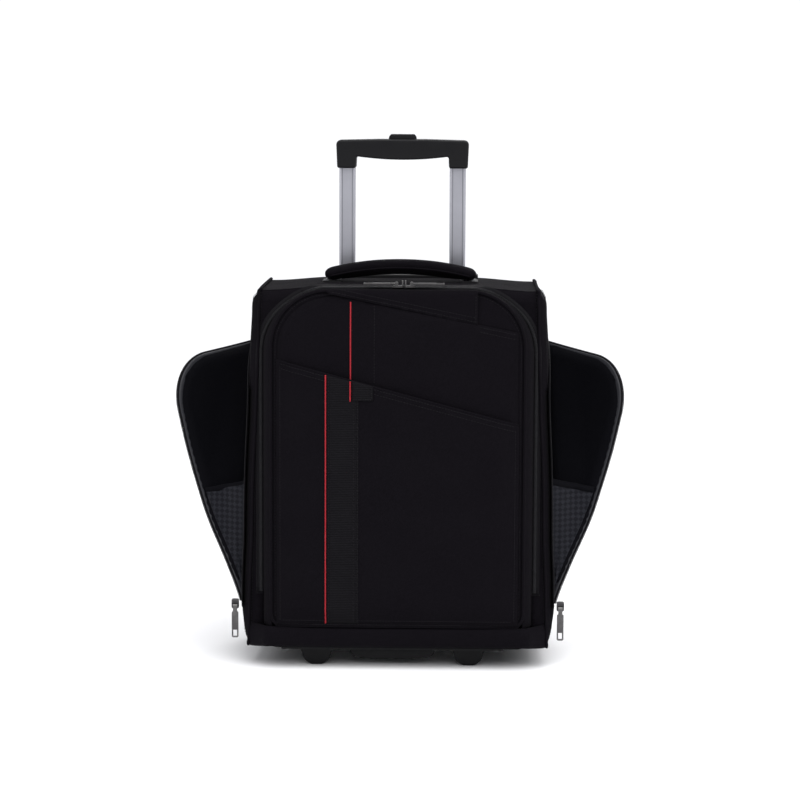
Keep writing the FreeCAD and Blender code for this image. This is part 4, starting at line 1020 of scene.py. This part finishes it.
for name, side in SIDES:
    opened = flap_turn(name)

    def shut(y, z, out=0.0):
        """A point of the shut flap, out metres outside its middle."""
        return Vector((side * (flap_flat(z) - 0.0015 + out), y, z))

    def outer(y, z):
        """The flap's face."""
        rise = ease(from_fold(y, z) / 0.02) * ease((0.5 - abs(0.5 - from_fold(y, z) / flap_reach)) / 0.12)
        return opened @ shut(y, z, 0.0012 + belly(y, z) + 0.0016 * rise)

    def through_pad(y, z):
        """The step from the flap's face to its lining."""
        rim = min(y - flap_y, flap_top_z - z)
        if y < flap_y + flap_corner and z > flap_top_z - flap_corner:
            rim = flap_corner - math.hypot(flap_y + flap_corner - y, z - flap_top_z + flap_corner)
        deep = 0.0024 + pad_depth * ease(rim / 0.012) * ease(from_fold(y, z) / 0.012)
        return opened.to_3x3() @ Vector((-side * deep, 0, 0))

    panel = cut_cloth(triangle(0.0, 0.0), outer, through_pad, cell=0.006, lined=True)
    made = dressed(name + "_flap", panel, name + "_flap", "shell_fabric", shell_cloth, plain_lining)
    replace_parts(made, name + "_flap_panel")

    edge = divided(triangle(-0.0002, 0.0), 0.004, closed=False)
    path = [outer(y, z) + through_pad(y, z) * 0.5 for y, z in edge]
    out_way = opened.to_3x3() @ Vector((side, 0, 0))
    ups = [out_way] * len(path)
    bm = bmesh.new()
    half_zip(bm, path, ups, (-0.0004 * side, 0.0058 * side), (-0.0020 * side, 0.0004 * side), 0.0014)
    sweep(bm, [p - out_way * 0.0002 for p in path], ups, ring_of(0.0014, (-0.0006 * side, 0.0)), material=0)
    dressed(name + "_flap_zip", bm, name + "_flap", "zip_nylon", zip_tape, coil_nylon)
    inner = [outer(y, z) + through_pad(y, z) for y, z in edge]
    bm = bmesh.new()
    binding = [(0.0000, 0.0010), (0.0004, -0.0006), (0.0022, -0.0011), (0.0045, -0.0012), (0.0066, -0.0009),
               (0.0074, -0.0001), (0.0072, 0.0010)]
    sweep(bm, inner, ups, [(a * side, b) for a, b in binding])
    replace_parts(dressed(name + "_flap_binding", bm, name + "_flap", "silver_edge", binding_painted_reflection),
                name + "_flap_edging")


# ---------------------------------------------------------------- flap gussets
# A web of thin printed lining across the foot of each opening, from the case's seam to the flap's free
# edge, with a turned hem along its top.

for name, side in SIDES:
    gusset_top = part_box(name + "_flap_gusset")[1].z
    rows = []
    count_up, count_across = 22, 16
    for i in range(count_up + 1):
        z = flap_z + 0.010 + (gusset_top - flap_z - 0.010) * i / count_up
        y = flap_y + 0.0035
        seam = Vector((side * (side_skin(flap_y, z) - 0.0020), y, z))
        far_x = side * (flap_flat(z) - 0.0045 + belly(flap_y + 0.004, z))
        far = flap_turn(name) @ Vector((far_x, flap_y + 0.0045, z - 0.003))
        row = []
        for k in range(count_across + 1):
            t = k / count_across
            sag = 0.16 * (far - seam).length * math.sin(math.pi * t) ** 0.8
            fold_in = 0.0016 * math.sin(math.pi * 3 * t + 2 * z / 0.05) * math.sin(math.pi * t)
            row.append(seam.lerp(far, t) + Vector((0, sag * 0.55 + fold_in, -sag * 0.10 * (i / count_up))))
        rows.append(row)
    bm = bmesh.new()
    face = quilt(bm, rows)
    bind_edges(bm, face, quilt(bm, [[p + Vector((0, 0.0008, 0)) for p in row] for row in rows]))
    made = dressed(name + "_gusset", bm, None, "lining_fabric", lining_cloth)
    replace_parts(made, name + "_flap_gusset")
    seam_top, far_top = rows[-1][0], rows[-1][-1]
    wide, tall = (far_top - seam_top).length, rows[-1][0].z - rows[0][0].z
    for row, following in zip(rows, rows[1:]):
        for a, b, c, d in zip(row, row[1:], following[1:], following):
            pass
    seam_top.lerp(far_top, 0.02)
    seam_top.lerp(far_top, 0.34)
    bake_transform(made)
    bm = bmesh.new()
    hem = [p + Vector((0, 0.0004, 0)) for p in rows[-1]]
    folded = [(-0.0060, -0.0010), (0.0008, -0.0010), (0.0012, 0.0), (0.0008, 0.0010), (-0.0060, 0.0009)]
    sweep(bm, hem, [FORWARD] * len(hem), folded)
    made = dressed(name + "_gusset_hem", bm, None, "lining_fabric", plain_lining)
    seam_top.lerp(far_top, 0.02)
    seam_top.lerp(far_top, 0.34)
    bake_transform(made)


# ---------------------------------------------------------------- pouches and linings
# Behind each side opening hangs a soft pouch of the plain lining, sewn to the side round the opening.
# A lining board covers the handle's tubes, and a sleeved spring wire keeps the front frame square.

pouch_low, pouch_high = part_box("shoe_pouches")
pouch_in = 0.0965
for name, side in SIDES:
    y0, y1 = pouch_low.y + 0.002, pouch_high.y - 0.002

    def bag(y, z):
        """The pouch's cloth: at the side's inner face round its rim, and drawn in towards the middle."""
        a = abs((y - (y0 + y1) / 2) / ((y1 - y0) / 2))
        b = abs((z - (pouch_low.z + pouch_high.z) / 2) / ((pouch_high.z - pouch_low.z) / 2))
        hollow = max(0.0, 1 - a ** 7) ** 0.4 * max(0.0, 1 - b ** 9) ** 0.4
        rim = min(side_skin(y, z) - 0.0036, 0.1870)
        return Vector((side * (rim - (rim - pouch_in - creased((y, z, 11), 0.05, 0.004)) * hollow), y, z))

    outline = [(y0, pouch_low.z), (y1, pouch_low.z), (y1, pouch_high.z - 0.002), (y0, pouch_high.z - 0.002)]
    panel = cut_cloth(outline, bag, steady(-side * 0.0010, 0, 0), cell=0.006)
    made = dressed(name + "_pouch", panel, "case", "lining_fabric", plain_lining)
    if side > 0:
        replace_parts(made, "shoe_pouches")


bm = bmesh.new()
run = arch_run(0.1605, foot_z + 0.0040, 0.4515, 0.0140)
sweep(bm, [sunk(x, front_y + 0.0058, z) for x, z in run], [FORWARD] * len(run), ring_of(0.0013))
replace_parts(dressed("frame_wire", bm, "case", "lining_fabric", plain_lining), "opening_wire_frame")


def paint(material, *names):
    """Gives CAD nodes a finish."""
    for name in names:
        finishes = frame["nodes"][name].data.materials
        finishes.clear()
        finishes.append(material)


board_cloth = surface("board_cloth", (0.0030, 0.0030, 0.0036), (0.0090, 0.0090, 0.0100), (0.6, 0.85), weave,
                      {"Pitch": 0.0016}, "Fleck", "Mottle", (0.4, 0.0004), Specular_IOR_Level=0.08)
paint(plain_lining, "tube_cover_lining")
paint(board_cloth, "bottom_board")


# ---------------------------------------------------------------- carry handle
# Foam wrapped in the shell's cloth and sewn up along its under edge, on a webbing strap whose ends pass
# through moulded caps riveted to the top.

def settled(obj, voxel, pressure, cap):
    """Fills a closed piece out as stuffing does: remeshed, blown up as cloth, moved no further than cap."""
    even = obj.modifiers.new("even", "REMESH")
    even.mode, even.voxel_size = "VOXEL", voxel
    graph = bpy.context.evaluated_depsgraph_get()
    mesh = bpy.data.meshes.new_from_object(obj.evaluated_get(graph))
    obj.modifiers.clear()
    obj.data = mesh
    rest = [v.co.copy() for v in mesh.vertices]
    cloth = obj.modifiers.new("stuffing", "CLOTH")
    cloth.settings.use_pressure = True
    cloth.settings.uniform_pressure_force = pressure
    cloth.settings.effector_weights.gravity = 0
    cloth.point_cache.frame_end = 20
    for frame_number in range(1, 21):
        bpy.context.scene.frame_set(frame_number)
    graph = bpy.context.evaluated_depsgraph_get()
    blown = [v.co.copy() for v in obj.evaluated_get(graph).data.vertices]
    obj.modifiers.clear()
    for vertex, before, after in zip(mesh.vertices, rest, blown):
        step = after - before
        vertex.co = before + step * min(1.0, cap / max(step.length, 1e-9))
    bpy.context.scene.frame_set(1)
    finer = obj.modifiers.new("finer", "SUBSURF")
    finer.levels = finer.render_levels = 1
    graph = bpy.context.evaluated_depsgraph_get()
    obj.data = bpy.data.meshes.new_from_object(obj.evaluated_get(graph))
    obj.modifiers.clear()
    obj.data.shade_smooth()


grip_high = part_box("carry_handle_grip")[1]


def handle_line(t):
    """Height of the handle's middle: bowed up between its ends."""
    return grip_high.z - 0.0172 + bow_rise * (1 - t * t)


grip_half = grip_high.x + 0.0035
bow_rise = 0.0122
count, round_count = 40, 20
bm = bmesh.new()
rings = []
for i in range(count + 1):
    t = -1 + 2 * i / count
    end = math.sqrt(max(0.0, 1 - max(0.0, (abs(t) - 0.90) / 0.10) ** 2))
    thick = 0.0076 * (0.45 + 0.55 * end)
    wide = 0.0146 * (0.78 + 0.22 * end)
    middle = Vector((t * grip_half, 0, handle_line(t)))
    lean = Vector((2 * bow_rise * t / grip_half, 0, 1)).normalized()
    ring = []
    for k in range(round_count):
        c, s = math.cos(math.tau * k / round_count), math.sin(math.tau * k / round_count)
        ring.append(bm.verts.new(middle + Vector((0, 1, 0)) * wide * math.copysign(abs(c) ** 0.7, c)
                                 + lean * thick * math.copysign(abs(s) ** 0.8, s)))
    rings.append(ring)
for ring, following in zip(rings, rings[1:]):
    for k in range(round_count):
        after = (k + 1) % round_count
        bm.faces.new([ring[k], ring[after], following[after], following[k]])
bm.faces.new(rings[0])
bm.faces.new(rings[-1])
handle = dressed("carry_handle", bm, None, "shell_fabric", shell_cloth)
settled(handle, 0.0035, 4.0, 0.0022)
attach(handle, "carry_handle")
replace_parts(handle, "carry_handle_grip")
bm = bmesh.new()
for side in (-1, 1):
    line = [Vector((t * grip_half, side * (0.0150 - 0.0010 * t * t), handle_line(t) - 0.0012))
            for t in [0.92 * (-1 + 2 * i / 50) for i in range(51)]]
    ups = [Vector((0, side, -0.1)).normalized()] * len(line)
    sweep(bm, line, ups, ring_of(0.0011, (0, 0.0012)))
    stitches(bm, [p + Vector((0, 0.0014 * side, 0.0026)) for p in line], ups)
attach(dressed("carry_handle_seams", bm, None, "shell_fabric", shell_cloth), "carry_handle")
paint(webbing, "carry_handle_strap")


# ---------------------------------------------------------------- telescopic handle
# Three drawn aluminium tubes a side, brushed and anodised, under a moulded cross grip with a push button.

brushed, given, out = shader_group("brushed", {"Middle": tube_x, "Groove": 0.0062},
                                   ["Height", "StreakAndGrooveShade", "Smudge"])
lines = cloudy(brushed, 0.00035, 3.0, (1, 1, 160))
across = brushed.nodes.new("ShaderNodeSeparateXYZ")
brushed.links.new(brushed.nodes.new("ShaderNodeTexCoord").outputs["Object"], across.inputs[0])
off_centre = reckon(brushed, "ABSOLUTE", across.outputs[0])
from_middle = reckon(brushed, "ABSOLUTE", reckon(brushed, "SUBTRACT", off_centre, given.outputs["Middle"]))
# The groove is a real recess in the bump, and its darker colour is painted shade in the groove.
groove_and_shade = reckon(brushed, "COMPARE", from_middle, given.outputs["Groove"], 0.0005)
brushed.links.new(reckon(brushed, "SUBTRACT", lines, reckon(brushed, "MULTIPLY", groove_and_shade, 2.0)),
                  out.inputs["Height"])
broad = reckon(brushed, "MULTIPLY_ADD", cloudy(brushed, 0.03, 3.0), 0.16, 0.66)
sheen = reckon(brushed, "MULTIPLY_ADD", lines, 0.22, broad)
brushed.links.new(reckon(brushed, "MULTIPLY", sheen, reckon(brushed, "MULTIPLY_ADD", groove_and_shade, -0.55, 1.0)),
                  out.inputs["StreakAndGrooveShade"])
brushed.links.new(cloudy(brushed, 0.012, 4.0), out.inputs["Smudge"])
# The tubes' colour mixes random brushed streaks with painted shade along the grooves.
anodised = surface("anodised", (0.03, 0.03, 0.035), (0.47, 0.47, 0.515), (0.28, 0.42), brushed,
                   {"Groove": 0.0062}, "StreakAndGrooveShade", "Smudge", (0.12, 0.0001),
                   Metallic=0.85, Specular_IOR_Level=0.5)
paint(anodised, "upper_tubes", "middle_tubes", "outer_tubes")
moulded = surface("moulded", (0.0036, 0.0035, 0.0042), (0.0150, 0.0150, 0.0165), (0.40, 0.60), grain,
                  {"Edge": 0.53}, "Worn", "Smudge", (0.25, 0.0002), Specular_IOR_Level=0.15)
soft_black = surface("soft_black", (0.0034, 0.0033, 0.0042), (0.0160, 0.0160, 0.0180), (0.34, 0.52), grain,
                     {"Edge": 0.53}, "Worn", "Smudge", (0.18, 0.0002), Specular_IOR_Level=0.17,
                     Coat_Weight=0.03, Coat_Roughness=0.35)
paint(moulded, "handle_bezel", "handle_base_bracket", "carry_handle_end_caps", "wheel_housings",
      "front_skid_plate", "upper_tube_guides")


def moulding(name, outline, y0, y1, soften, body, slot, material):
    """A moulded block: an outline in (x, z) run from y0 to y1, with softened edges."""
    bm = bmesh.new()
    ring = [bm.verts.new((x, y0, z)) for x, z in outline]
    moved = bmesh.ops.extrude_face_region(bm, geom=[bm.faces.new(ring)])["geom"]
    corners = [part for part in moved if isinstance(part, bmesh.types.BMVert)]
    bmesh.ops.translate(bm, vec=(0, y1 - y0, 0), verts=corners)
    bmesh.ops.recalc_face_normals(bm, faces=bm.faces[:])
    sharp = [e for e in bm.edges if len(e.link_faces) == 2 and e.calc_face_angle() > math.radians(24)]
    bmesh.ops.bevel(bm, geom=sharp, offset=soften, segments=4, affect="EDGES", profile=0.5,
                    clamp_overlap=True)
    made = dressed(name, bm, body, slot, material)
    made.data.set_sharp_from_angle(angle=math.radians(35))
    return made


low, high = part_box("pull_grip")
leg = 0.0245
half_grip, grip_crown = high.x, high.z + 0.0030
bow = [(t * (half_grip - leg - 0.0006), 0.6085 - 0.0040 * (1 - t * t)) for t in spaced(-1, 2, 16)]
outline = ([(-half_grip + 0.0012, low.z), (leg - half_grip, low.z)] + bow
           + [(half_grip - leg, low.z), (half_grip - 0.0012, low.z)]
           + arc((half_grip - 0.006, grip_crown - 0.0072), 0.006, 0, 90, 6)
           + [(0.030, grip_crown), (-0.030, grip_crown)]
           + arc((0.006 - half_grip, grip_crown - 0.0072), 0.006, 90, 180, 6))
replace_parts(moulding("grip", outline, low.y, high.y, 0.0026, "upper_stage", "grip_black", soft_black),
            "pull_grip")
b_low, b_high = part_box("release_button")
cap_low = high.z - 0.001
outline = [(b_low.x, cap_low), (b_high.x, cap_low), (b_high.x - 0.0012, b_high.z - 0.003),
           (b_high.x - 0.0035, b_high.z), (b_low.x + 0.0035, b_high.z), (b_low.x + 0.0012, b_high.z - 0.003)]
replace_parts(moulding("button", outline, b_low.y, b_high.y, 0.0012, "button", "moulded_black", moulded),
            "release_button")


# ---------------------------------------------------------------- feet
# Two moulded feet and a wide bar between them, under the front edge.

def floor_block(name, node, shape, soften):
    """A block under the case. shape is (half width, drop) points down one side."""
    low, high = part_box(node)
    x = (low.x + high.x) / 2
    outline = [(x + u, high.z - d) for u, d in shape] + [(x - u, high.z - d) for u, d in reversed(shape)]
    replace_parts(moulding(name, outline, low.y, high.y, soften, "case", "moulded_black", moulded), node)


foot_shape = [(0.0215, 0.0), (0.0186, 0.003), (0.0173, 0.008), (0.0163, 0.012), (0.0138, 0.016),
              (0.0098, 0.0193), (0.0055, 0.0210)]
bar_shape = [(0.0515, 0.0), (0.0505, 0.006), (0.0460, 0.010), (0.0380, 0.012), (0.0200, 0.013)]
for name, side in SIDES:
    floor_block(name + "_foot", name + "_front_foot", foot_shape, 0.0028)
floor_block("skid_bar", "centre_skid_bar", bar_shape, 0.0026)


# ---------------------------------------------------------------- wheels, metal parts and zip pulls
# Soft tyres on moulded hubs, steel axles, lock pins and rods, and zip sliders and pulls in dark plated zinc.

tyre = surface("tyre", (0.0050, 0.0050, 0.0054), (0.0280, 0.0270, 0.0250), (0.6, 0.85), grain, {"Edge": 0.52},
               "Worn", "Smudge", (0.35, 0.0003), Specular_IOR_Level=0.12)
hub = surface("hub", (0.012, 0.012, 0.013), (0.045, 0.045, 0.048), (0.35, 0.55), grain, {"Edge": 0.52},
              "Worn", "Smudge", (0.2, 0.0002), Specular_IOR_Level=0.25)
steel = surface("steel", (0.20, 0.20, 0.21), (0.42, 0.42, 0.43), (0.25, 0.45), grain, {"Edge": 0.52}, "Worn",
                "Smudge", (0.08, 0.0001), Metallic=1.0)
gunmetal = surface("gunmetal", (0.055, 0.053, 0.055), (0.230, 0.225, 0.220), (0.24, 0.40), grain,
                   {"Edge": 0.51}, "Worn", "Smudge", (0.10, 0.0001), Metallic=1.0)
paint(tyre, "left_wheel_tyre", "right_wheel_tyre")
paint(hub, "left_wheel_hub", "right_wheel_hub")
paint(steel, "wheel_axles", "left_lock_pin", "right_lock_pin", "push_rods", "screws_and_rivets")
paint(gunmetal, "main_zip_slider_left", "main_zip_slider_right", "main_zip_pull_left", "main_zip_pull_right",
      "left_side_zip_slider", "right_side_zip_slider", "left_side_zip_pull", "right_side_zip_pull")

bpy.context.view_layer.update()
